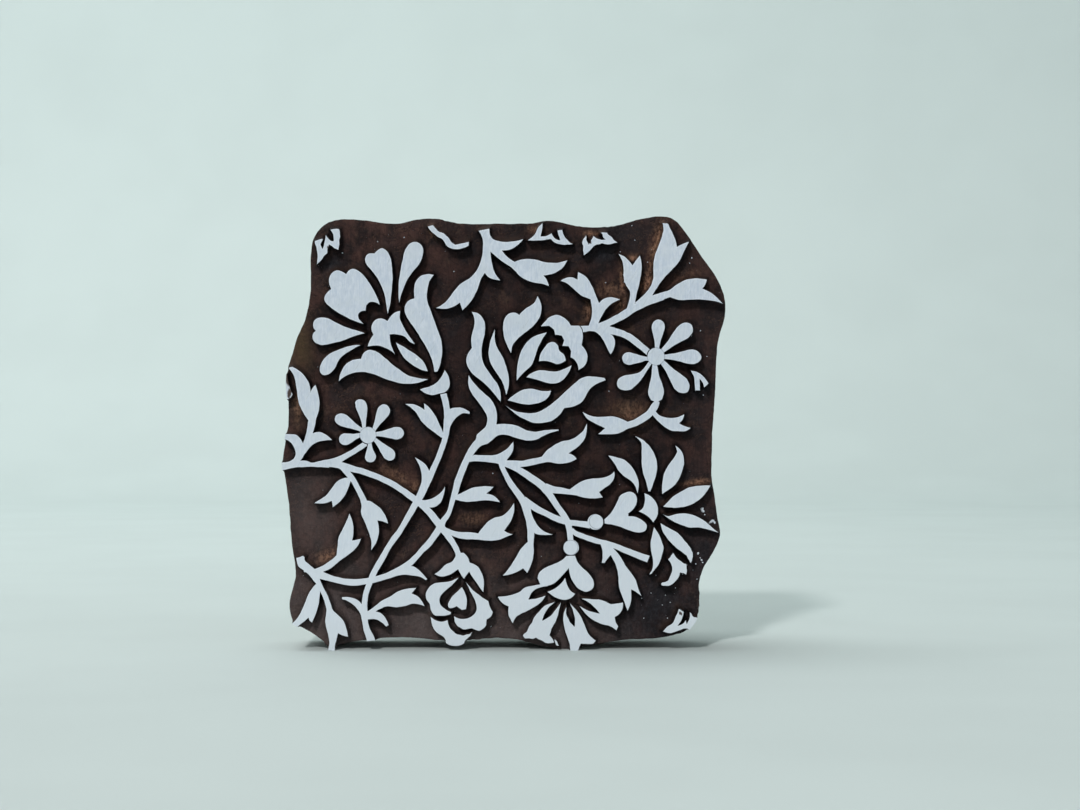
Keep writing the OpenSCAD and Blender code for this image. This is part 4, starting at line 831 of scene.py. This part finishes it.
class Tree:
    """A tree of nodes being put together."""

    def node(self, kind, inputs, **settings):
        node = self.tree.nodes.new(kind)
        for name, value in settings.items():
            setattr(node, name, value)
        for name, value in inputs.items():
            self.put(node.inputs[name], value)
        return node

    def out(self, kind, inputs, **settings):
        return self.node(kind, inputs, **settings).outputs[0]

    def put(self, socket, value):
        if isinstance(value, bpy.types.NodeSocket):
            self.tree.links.new(value, socket)
        else:
            socket.default_value = value

    def sum(self, a, b, kind="ADD"):
        return self.out("ShaderNodeMath", {0: a, 1: b}, operation=kind)

    def times(self, a, b):
        return self.sum(a, b, "MULTIPLY")

    def vectors(self, a, b, kind):
        return self.out("ShaderNodeVectorMath", {0: a, 1: b}, operation=kind)


class Growth(Tree):
    """A tree of geometry nodes with named sizes."""

    def __init__(self, name, sizes):
        self.tree = bpy.data.node_groups.new(name, "GeometryNodeTree")
        face = self.tree.interface
        for side in ("OUTPUT", "INPUT"):
            face.new_socket("Geometry", in_out=side, socket_type="NodeSocketGeometry")
        self.sizes = {}
        for label, value in sizes.items():
            kind = "NodeSocketInt" if isinstance(value, int) else "NodeSocketFloat"
            socket = face.new_socket(label, in_out="INPUT", socket_type=kind)
            self.sizes[socket.identifier] = value
        self.given = self.tree.nodes.new("NodeGroupInput").outputs

    def vector(self, x, y, z):
        return self.out("ShaderNodeCombineXYZ", {0: x, 1: y, 2: z})

    def chance(self, **limits):
        """A random vector for each point."""
        limits["Seed"] = self.given["Seed"]
        return self.out("FunctionNodeRandomValue", limits, data_type="FLOAT_VECTOR")

    def strewn(self, points, piece, turn, *sizes):
        return self.out("GeometryNodeInstanceOnPoints", {
            "Points": points, "Instance": piece, "Rotation": turn, "Scale": self.vector(*sizes),
        })

    def end(self, geometry, material):
        real = self.out("GeometryNodeRealizeInstances", {"Geometry": geometry})
        coated = self.out("GeometryNodeSetMaterial", {"Geometry": real, "Material": material})
        self.tree.links.new(coated, self.tree.nodes.new("NodeGroupOutput").inputs[0])

    def grow(self, name, base):
        """The finished plain piece, grown from a base mesh."""
        holder = linked("growing", base)
        modifier = holder.modifiers.new("growth", "NODES")
        modifier.node_group = self.tree
        for identifier, value in self.sizes.items():
            modifier[identifier] = value
        return linked(name, plain_mesh(name, holder))


def plain_mesh(name, holder):
    """The mesh that the holder's modifiers make; the holder goes."""
    bpy.context.view_layer.update()
    ready = holder.evaluated_get(bpy.context.evaluated_depsgraph_get())
    mesh = bpy.data.meshes.new_from_object(ready)
    mesh.name = name
    bpy.data.objects.remove(holder)
    return mesh


def speck_ground(sheet, y):
    """The carved ground, with a loose point for each crumb that holds the crumb's width."""
    spots, faces, kind, _ = sheet
    crumbs = np.array(CRUMBS) * (DRAWN, DRAWN, 1)
    place = crumbs[:, :2]
    in_use = np.unique(faces)
    near, _ = nearest(tree_of(spots[in_use]), place)
    used, ground = packed(facing_front(spots, faces)[kind == 0])
    points = np.concatenate([raised(spots[used], y[used]), raised(place, y[in_use[near]])])
    return as_mesh("ground", points, ground, width=np.concatenate([np.zeros(len(used)), crumbs[:, 2] * MM]))


def chalk_specks(sheet, y, material):
    """Chalk left on the carved ground: crumbs at their places, and finer dust sown at random."""
    g = Growth("chalk specks", {
        "Dust per square metre": DUST_PER_MM2 / MM ** 2, "Dust smallest": 0.05 * MM,
        "Dust largest": 0.17 * MM, "Flatness": 0.5, "Lumps": 0.45, "Seed": 4,
    })
    flatness, seed, ground = (g.given[label] for label in ("Flatness", "Seed", "Geometry"))
    speck = g.out("GeometryNodeMeshIcoSphere", {"Radius": 0.5, "Subdivisions": 2})
    sown = g.out("GeometryNodeDistributePointsOnFaces", {
        "Mesh": ground, "Density": g.given["Dust per square metre"], "Seed": seed,
    })
    share = g.node("FunctionNodeRandomValue", {"Max": 1.0, "Seed": seed}, data_type="FLOAT").outputs[1]
    dust_width = g.out("ShaderNodeMapRange", {
        "Value": g.sum(share, 4.0, "POWER"), "To Min": g.given["Dust smallest"],
        "To Max": g.given["Dust largest"],
    })
    turn = g.chance(Max=(3.1, 3.1, 3.1))
    dust = g.strewn(sown, speck, turn, dust_width, dust_width, g.times(dust_width, flatness))
    width = g.out("GeometryNodeInputNamedAttribute", {"Name": "width"}, data_type="FLOAT")
    chosen = g.sum(width, 0.00001, "GREATER_THAN")
    placed = g.out("GeometryNodeMeshToPoints", {"Mesh": ground, "Selection": chosen})
    lie = g.chance(Min=(-0.3, -3.1, -0.3), Max=(0.3, 3.1, 0.3))
    lumps = g.strewn(placed, speck, lie, width, g.times(width, flatness), g.times(width, 0.75))
    join = g.tree.nodes.new("GeometryNodeJoinGeometry")
    for part in (dust, lumps):
        g.tree.links.new(part, join.inputs[0])
    real = g.out("GeometryNodeRealizeInstances", {"Geometry": join.outputs[0]})
    rough = g.node("ShaderNodeTexNoise", {"Scale": 2600.0, "Detail": 2.0}).outputs["Color"]
    push = g.vectors(g.vectors(rough, (0.5, 0.5, 0.5), "SUBTRACT"), (0.0004, 0.0004, 0.0004), "MULTIPLY")
    away = g.out("ShaderNodeVectorMath", {0: push, "Scale": g.given["Lumps"]}, operation="SCALE")
    g.end(g.out("GeometryNodeSetPosition", {"Geometry": real, "Offset": away}), material)
    piece = g.grow("chalk_specks", speck_ground(sheet, y))
    shade(piece.data)
    co = np.clip(rows_of(piece.data.vertices, "co"), np.array(BLOCK_LOW) * MM, np.array(BLOCK_HIGH) * MM)
    piece.data.vertices.foreach_set("co", co.ravel())
    fit(piece, "chalk_coat")


# The grip and its screws

def handle(material):
    """The grip bar, its edges worn round by hands and its faces a little uneven."""
    holder = linked("handle_work", mended(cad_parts["handle_bar"].data.copy(), 1e-6))
    remesh = holder.modifiers.new("even", "REMESH")
    remesh.mode = "VOXEL"
    remesh.voxel_size = HANDLE_MESH * MM
    soften = holder.modifiers.new("worn", "SMOOTH")
    soften.factor = 0.5
    soften.iterations = HANDLE_WEAR
    piece = linked("handle", plain_mesh("handle", holder))
    low, high = (np.array(corner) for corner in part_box("handle_bar"))
    co = rows_of(piece.data.vertices, "co") / MM
    dent = HANDLE_DENT * (1 + soft_noise(co[:, [0, 2]] * (0.4, 1), 5, 41) * soft_noise(co[:, [0, 1]], 7, 42))
    middle = (low + high) / 2 / MM
    core = np.clip(co[:, 0], -HANDLE_CORE, HANDLE_CORE)[:, None] * (1, 0, 0) + middle * (0, 1, 1)
    co = co - unit(co - core) * dent[:, None]
    least, most = co.min(0), co.max(0)
    co = low + (co - least) * (high - low) / (most - least)
    piece.data.vertices.foreach_set("co", co.ravel())
    piece.data.materials.clear()
    piece.data.materials.append(material)
    shade(piece.data)
    fit(piece, "handle_wood", "handle_bar")


def screw_rings(head, top, tip):
    """The levels and radii of the screw's rings, from its head to its point."""
    crest = head / 2
    thread_top = top - crest - SCREW_NECK
    steps = int((thread_top - tip) / SCREW_STEP)
    rings = [(top, head - HEAD_EDGE), (top - HEAD_EDGE, head), (top - crest, crest)]
    for level in (thread_top + (tip - thread_top) * i / steps for i in range(steps + 1)):
        depth = min(1, (thread_top - level) / 1.5) * (crest - SCREW_ROOT * crest)
        phase = (level / SCREW_PITCH + np.arange(SCREW_SIDES) / SCREW_SIDES) % 1
        groove = depth * np.minimum(1, 3.2 * np.abs(phase - 0.5))
        rings.append((level, (crest - groove) * min(1, 0.12 + (level - tip) / SCREW_POINT)))
    return rings


def screw_body():
    """One screw at the middle of the block, its point forwards: head, plain neck and thread."""
    low, high = (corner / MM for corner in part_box("handle_screws"))
    head = (high.z - low.z) / 2
    turn = 2 * math.pi / SCREW_SIDES * np.arange(SCREW_SIDES)
    around = np.stack([np.cos(turn), np.sin(turn)], 1)
    shell = Shell()
    top = shell.add([(0, high.y, 0)])[0]
    rings = []
    for level, radius in screw_rings(head, high.y, low.y):
        rings.append(shell.add(raised(around * np.reshape(radius, (-1, 1)), level)))
    tip = shell.add([(0, low.y, 0)])[0]
    for a, b in zip(rings, rings[1:]):
        shell.join(bridge(b, a))
    shell.join(fan(rings[0], top))
    shell.join(fan(rings[-1], tip))
    body = linked("screw_work", mended(as_mesh("screw", shell.points, shell.faces)))
    slot = linked("slot_work", bar_mesh((2.4 * head, 2 * SLOT_DEPTH, SLOT_WIDE), (0, high.y, 0)))
    cut = body.modifiers.new("slot", "BOOLEAN")
    cut.operation = "DIFFERENCE"
    cut.solver = "EXACT"
    cut.object = slot
    mesh = plain_mesh("screw_one", body)
    bpy.data.objects.remove(slot)
    return mesh


def bar_mesh(size, middle):
    points = np.indices((2, 2, 2)).reshape(3, 8).T * size + middle - np.array(size) / 2
    faces = [(0, 1, 3, 2), (4, 6, 7, 5), (0, 4, 5, 1), (2, 3, 7, 6), (0, 2, 6, 4), (1, 5, 7, 3)]
    return as_mesh("bar", points, faces)


def screws(material):
    low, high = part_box("handle_screws")
    pitch = (high.x - low.x) - (high.z - low.z)
    g = Growth("screws in a row", {"Pitch": pitch, "Height": (low.z + high.z) / 2, "Count": 2})
    row = g.out("GeometryNodeMeshLine", {
        "Count": g.given["Count"], "Offset": g.vector(g.given["Pitch"], 0.0, 0.0),
        "Start Location": g.vector(g.times(g.given["Pitch"], -0.5), 0.0, g.given["Height"]),
    })
    g.end(g.out("GeometryNodeInstanceOnPoints", {"Points": row, "Instance": g.given["Geometry"]}), material)
    piece = g.grow("screws", screw_body())
    shade(piece.data, 35)
    fit(piece, "screw_steel", "handle_screws")


# Finishes

class Finish(Tree):
    """A material being put together from texture nodes."""

    def __init__(self, name):
        self.material = bpy.data.materials.new(name)
        self.material.use_nodes = True
        self.tree = self.material.node_tree
        self.shader = self.tree.nodes["Principled BSDF"]
        self.place = self.tree.nodes.new("ShaderNodeTexCoord").outputs["Object"]

    def set(self, name, value):
        self.put(self.shader.inputs[name], value)

    def noise(self, pitch, detail=4, rough=0.55, stretch=(1, 1, 1), offset=0.0, lean=0):
        """Uneven field from 0 to 1 with patches about pitch millimetres across, longer where stretched."""
        moved = self.out("ShaderNodeMapping", {
            "Vector": self.place, "Scale": [pitch * MM * s for s in stretch],
            "Location": [-offset * 10 * MM] * 3, "Rotation": (0, math.radians(lean), 0),
        }, vector_type="TEXTURE")
        inputs = {"Vector": moved, "Scale": 1.0, "Detail": detail, "Roughness": rough}
        return self.out("ShaderNodeTexNoise", inputs)

    def number(self, name):
        return self.node("ShaderNodeAttribute", {}, attribute_name=name).outputs["Fac"]

    def curve(self, value, low, high, to_low=0.0, to_high=1.0):
        return self.out("ShaderNodeMapRange", {
            "Value": value, "From Min": low, "From Max": high, "To Min": to_low, "To Max": to_high,
        }, interpolation_type="SMOOTHSTEP")

    def line(self, value, level, width):
        """1 where the value is at the level, falling to 0 at width from it."""
        return self.curve(self.sum(self.sum(value, level, "SUBTRACT"), 0, "ABSOLUTE"), width, 0)

    def mix(self, share, a, b):
        return self.node("ShaderNodeMix", {0: share, 6: a, 7: b}, data_type="RGBA").outputs[2]

    def layers(self, colour, *over):
        """The colour under layers: each is a field, its start and its full value, a share and a tint."""
        for field, low, high, share, above in over:
            colour = self.mix(self.curve(field, low, high, 0.0, share), colour, tint(*above))
        return colour

    def relief(self, height, depth, strength=1.0):
        """Sets the small relief of the surface: height from 0 to 1, depth in millimetres."""
        inputs = {"Height": height, "Distance": depth * MM, "Strength": strength}
        self.set("Normal", self.out("ShaderNodeBump", inputs))

    def place_part(self, axis):
        return self.node("ShaderNodeSeparateXYZ", {"Vector": self.place}).outputs[axis]

    def distance(self, mask, x, y, z):
        """Metres to a place in millimetres, measured only along the axes in the mask."""
        inputs = {0: self.vectors(self.place, mask, "MULTIPLY"), 1: (x * MM, y * MM, z * MM)}
        return self.node("ShaderNodeVectorMath", inputs, operation="DISTANCE").outputs["Value"]

    def growth_rings(self, distance, pitch, seed):
        """Uneven light and dark rings round a far middle, from 0 to 1."""
        wave = self.sum(distance, self.times(self.sum(self.noise(9, 2, 0.5, (1, 1, 3), seed), -0.5), 0.004))
        return self.out("ShaderNodeTexNoise", {
            "W": self.times(wave, 1 / (pitch * MM)), "Scale": 1.0, "Detail": 3.0, "Roughness": 0.7,
        }, noise_dimensions="1D")


def tint(red, green, blue):
    """A colour given as it shows on a screen, from 0 to 255."""
    parts = [c / 255 for c in (red, green, blue)]
    return [c / 12.92 if c <= 0.04045 else ((c + 0.055) / 1.055) ** 2.4 for c in parts] + [1]


def chalk_finish():
    """Matt bluish white, brushed on thin, with faint streaks, painted highlights on thin rims and a few
    rubbed spots.
    """
    f = Finish("chalk white")
    streaks = f.noise(0.5, 5, 0.6, (1, 1, 7))
    cloud = f.noise(5, 4, 0.6)
    mottle = f.noise(1.5, 5, 0.65, (1, 1, 1), 8.3)
    scratches = f.noise(0.32, 3, 0.6, (1, 1, 16), 5.7, 32)
    rubbed = f.noise(1.1, 4, 0.65, (1, 1, 2.5), 3.7)
    colour = f.layers(
        tint(207, 214, 224),
        (streaks, 0.4, 0.62, 1, (191, 201, 215)), (mottle, 0.4, 0.62, 0.4, (180, 191, 205)),
        (cloud, 0.42, 0.62, 0.6, (198, 206, 214)), (scratches, 0.6, 0.7, 0.4, (162, 170, 179)),
        (rubbed, 0.64, 0.76, 0.3, (140, 146, 154)),
    )
    # Painted highlight: a paler line along each land's rim
    painted_rim_highlight = f.times(f.number("bead"), f.curve(mottle, 0.3, 0.6, 0.6, 0.3))
    colour = f.mix(painted_rim_highlight, colour, tint(230, 236, 244))
    # Painted light: the lands paler towards the bottom, from z = 85 mm down
    colour = f.layers(colour, (f.place_part("Z"), 85 * MM, 0, 0.75, (219, 227, 234)))
    for x, z, radius in CENTRES:
        circle = f.line(f.distance((1, 0, 1), x * DRAWN, 0, z * DRAWN), radius * MM, 0.2 * MM)
        colour = f.mix(f.times(circle, 0.6), colour, tint(120, 130, 145))
    gleam = f.distance((1, 0, 1), -25 * DRAWN, 0, 83.2 * DRAWN)
    colour = f.layers(colour, (gleam, 0.5 * MM, 0, 1, (240, 246, 250)))
    worn_off = f.sum(f.number("bare"), f.times(f.sum(mottle, -0.5), 0.8))
    f.set("Base Color", f.layers(colour, (worn_off, 0.35, 0.6, 1, (74, 62, 58))))
    f.set("Roughness", f.curve(streaks, 0.3, 0.7, 0.74, 0.9))
    f.set("Specular IOR Level", 0.2)
    f.relief(f.sum(streaks, f.noise(0.25, 3)), 0.06, 0.6)
    return f.material


def block_finish():
    """Hardwood soaked in old ink over its carved face, and browner at its sides and back, with painted shade
    in the narrow gaps and below the lands, and painted light on the slopes beside them.
    """
    f = Finish("ink-stained block wood")
    mottle = f.noise(5, 6, 0.62, (1, 1, 1.3))
    patch = f.noise(14, 4, 0.55, (1, 1, 1), 5.1)
    fibres = f.noise(0.45, 5, 0.65, (1, 1, 14))
    fine = f.noise(0.8, 6, 0.7, (1, 1, 1.5), 2.2)
    strokes = f.noise(1.1, 5, 0.65, (3.5, 1, 1), 9.1, 28)
    lines = f.noise(2.6, 4, 0.6, (1.6, 1, 1), 12.4, -20)
    cut_mark = f.line(lines, 0.5, 0.032)
    rings = f.growth_rings(f.distance((1, 1, 0), *RING_MIDDLE, 0), 2.6, 6.4)
    wood = f.layers(
        tint(112, 82, 57),
        (rings, 0.38, 0.62, 1, (83, 57, 41)), (fibres, 0.48, 0.68, 0.55, (50, 34, 26)),
        (patch, 0.45, 0.65, 0.5, (61, 49, 41)), (mottle, 0.54, 0.7, 0.45, (42, 34, 31)),
    )
    ink = f.layers(
        tint(31, 22, 23),
        (mottle, 0.36, 0.64, 1, (74, 52, 48)), (patch, 0.48, 0.62, 0.7, (50, 40, 41)),
        (rings, 0.45, 0.6, 0.3, (26, 20, 22)), (strokes, 0.5, 0.66, 0.4, (24, 18, 20)),
        (fine, 0.5, 0.7, 0.32, (92, 68, 57)), (fibres, 0.5, 0.7, 0.35, (22, 17, 18)),
    )
    pale = f.mix(fine, tint(50, 40, 30), tint(96, 78, 54))
    blue_black = f.mix(f.curve(fine, 0.4, 0.65), tint(22, 22, 27), tint(37, 40, 46))
    bare = f.mix(f.curve(fine, 0.35, 0.65), tint(90, 62, 48), tint(166, 126, 102))
    ridge = f.curve(f.number("ridge"), 0.35, 0.9)
    dusty = f.number("dusty")
    pooled_ink_and_shadow = f.times(f.number("foot"), f.curve(dusty, 0, 1, 1.0, 0.45))
    for share, above in (
        (f.times(cut_mark, f.curve(patch, 0.4, 0.55, 0.05, 0.38)), tint(20, 14, 16)),
        (f.times(f.line(lines, 0.53, 0.02), f.curve(patch, 0.42, 0.6, 0.05, 0.32)), tint(112, 84, 70)),
        (f.times(ridge, f.curve(fine, 0.38, 0.6, 0.0, 0.5)), tint(96, 74, 62)),
        (f.curve(f.distance((1, 0, 1), 14, 0, 78), 66 * MM, 28 * MM, 0, 0.4), tint(18, 12, 15)),
        (f.times(dusty, f.curve(fine, 0.3, 0.7, 0.6, 0.9)), tint(97, 87, 86)),
        (f.times(f.number("faded"), 0.75), pale),
        # Ink stains, and painted shadow below the top scraps, blue-black
        (f.times(f.number("ink_and_shadow_blotches"), 0.9), blue_black),
        # Ink at the feet of the lands, and painted shadow below them, near black
        (f.times(pooled_ink_and_shadow, f.curve(mottle, 0.3, 0.62, 1.0, 0.6)), tint(10, 9, 15)),
        # Painted light: paler brown on the ground just above the lands
        (f.times(f.number("painted_light_slope"), f.curve(patch, 0.42, 0.6, 0.05, 0.35)), tint(96, 74, 62)),
        # Pale brown wood: partly bared of ink, partly painted light on slopes beside the lands
        (f.times(f.number("rubbed"), f.curve(fine, 0.34, 0.56, 0.35, 1.0)), bare),
        # Painted shade and ink: the narrow gaps between crowded lands go near black
        (f.curve(f.number("crowd"), 0.32, 0.62), tint(9, 8, 11)),
    ):
        ink = f.mix(share, ink, above)
    depth = f.sum(f.place_part("Y"), f.times(f.sum(patch, f.times(mottle, 0.6)), 0.016), "SUBTRACT")
    f.set("Base Color", f.mix(f.curve(depth, -0.012, -0.031, 0.22, 1.0), wood, ink))
    f.set("Roughness", f.curve(mottle, 0.3, 0.7, 0.55, 0.82))
    f.set("Specular IOR Level", 0.14)
    marks = f.sum(f.sum(f.times(fibres, 0.5), fine), f.sum(strokes, f.times(lines, 2.2)))
    f.relief(f.sum(marks, f.times(cut_mark, 0.35), "SUBTRACT"), 0.3, 0.9)
    return f.material


def handle_finish():
    """Brown hardwood, rubbed smooth and darkened by hands."""
    f = Finish("hand-rubbed handle wood")
    fibres = f.noise(0.45, 6, 0.62, (18, 1, 1))
    stain = f.noise(11, 5, 0.6, (1, 1, 1), 4.1)
    pores = f.noise(0.3, 3, 0.6, (9, 1, 1), 7.7)
    rings = f.growth_rings(f.distance((0, 1, 1), 0, 60, 22), 1.9, 2.8)
    f.set("Base Color", f.layers(
        tint(142, 99, 62),
        (rings, 0.38, 0.62, 1, (108, 69, 42)), (fibres, 0.42, 0.68, 0.5, (74, 46, 29)),
        (pores, 0.6, 0.68, 0.6, (44, 28, 20)), (stain, 0.5, 0.7, 0.6, (52, 37, 30)),
    ))
    f.set("Roughness", f.curve(stain, 0.3, 0.7, 0.36, 0.58))
    f.relief(f.sum(fibres, f.times(pores, 0.6)), 0.08, 0.6)
    return f.material


def steel_finish():
    """Dull steel with brown spots of rust."""
    f = Finish("dull screw steel")
    spots = f.curve(f.noise(0.8, 5, 0.6), 0.55, 0.68)
    f.set("Base Color", f.mix(spots, tint(150, 147, 141), tint(96, 66, 47)))
    f.set("Metallic", f.sum(1.0, spots, "SUBTRACT"))
    f.set("Roughness", f.curve(f.noise(0.4, 4), 0.3, 0.7, 0.32, 0.5))
    f.relief(f.noise(0.3, 4), 0.03, 0.5)
    return f.material


# Stage

CAMERA_PLACE = (10.248, -728, 70.03)
FACE_DISTANCE = 700
FRAME_WIDTH = 308.08
SENSOR = 36
FLOOR_REACH = 2200
FLOOR_BACK = 1000
BEND = 400
BLOCK_MIDDLE = (0, 0, 62)


def stage():
    """A pale floor that sweeps up into the backdrop."""
    f = Finish("pale studio paper")
    pale = tint(213, 223, 222)
    f.set("Base Color", f.mix(f.curve(f.noise(90, 2), 0.3, 0.7), pale, [0.97 * c for c in pale[:3]] + [1]))
    f.set("Roughness", 0.9)
    profile = [(-FLOOR_REACH, 0), (FLOOR_BACK, 0)]
    for a in range(6, 91, 6):
        turn = math.radians(a)
        profile.append((FLOOR_BACK + BEND * math.sin(turn), BEND - BEND * math.cos(turn)))
    profile.append((FLOOR_BACK + BEND, FLOOR_REACH))
    points = [(x, y, z) for y, z in profile for x in (-FLOOR_REACH, FLOOR_REACH)]
    faces = [(2 * i, 2 * i + 1, 2 * i + 3, 2 * i + 2) for i in range(len(profile) - 1)]
    make_piece("studio_floor", points, faces, f.material)


def area_light(name, place, target, size, power, colour):
    light = bpy.data.lights.new(name, "AREA")
    light.shape = "DISK"
    light.size = size
    light.energy = power
    light.color = colour
    lamp = linked(name, light)
    lamp.location = Vector(place) * MM
    lamp.visible_camera = False
    lamp.rotation_euler = (Vector(target) * MM - lamp.location).to_track_quat("-Z", "Y").to_euler()


def studio():
    area_light("key", (-520, -1900, 1340), BLOCK_MIDDLE, 0.22, 27, (1.0, 0.98, 0.97))
    area_light("fill", (700, -700, 260), BLOCK_MIDDLE, 0.9, 0.6, (0.86, 0.93, 1.0))
    area_light("front fill", (250, -1500, 160), BLOCK_MIDDLE, 0.8, 2.5, (1.0, 0.98, 0.98))
    area_light("back wash", (-450, 500, 1500), (-150, 1350, 400), 1.6, 16, (0.95, 1.0, 0.99))
    world = bpy.data.worlds.new("pale room")
    world.use_nodes = True
    sky = world.node_tree.nodes["Background"].inputs
    sky["Color"].default_value = tint(205, 220, 218)
    sky["Strength"].default_value = 0.27
    bpy.context.scene.world = world
    bpy.context.scene.view_settings.view_transform = "Standard"


def camera():
    data = bpy.data.cameras.new("camera")
    data.sensor_width = SENSOR
    data.lens = SENSOR * FACE_DISTANCE / FRAME_WIDTH
    viewer = linked("camera", data)
    viewer.location = Vector(CAMERA_PLACE) * MM
    viewer.rotation_euler = (math.radians(90), 0, 0)
    bpy.context.scene.camera = viewer


camera()
rough_outline, outline = block_outline()
lands = {name: land_loops(name, rough_outline) for name in COATS}
sheet = knit(lands, outline)
face_y = carved_block(sheet, block_finish())
chalk = chalk_finish()
for number, name in enumerate(COATS, 1):
    chalk_coat(name, number, sheet, chalk)
chalk_specks(sheet, face_y, chalk)
handle(handle_finish())
screws(steel_finish())
stage()
studio()
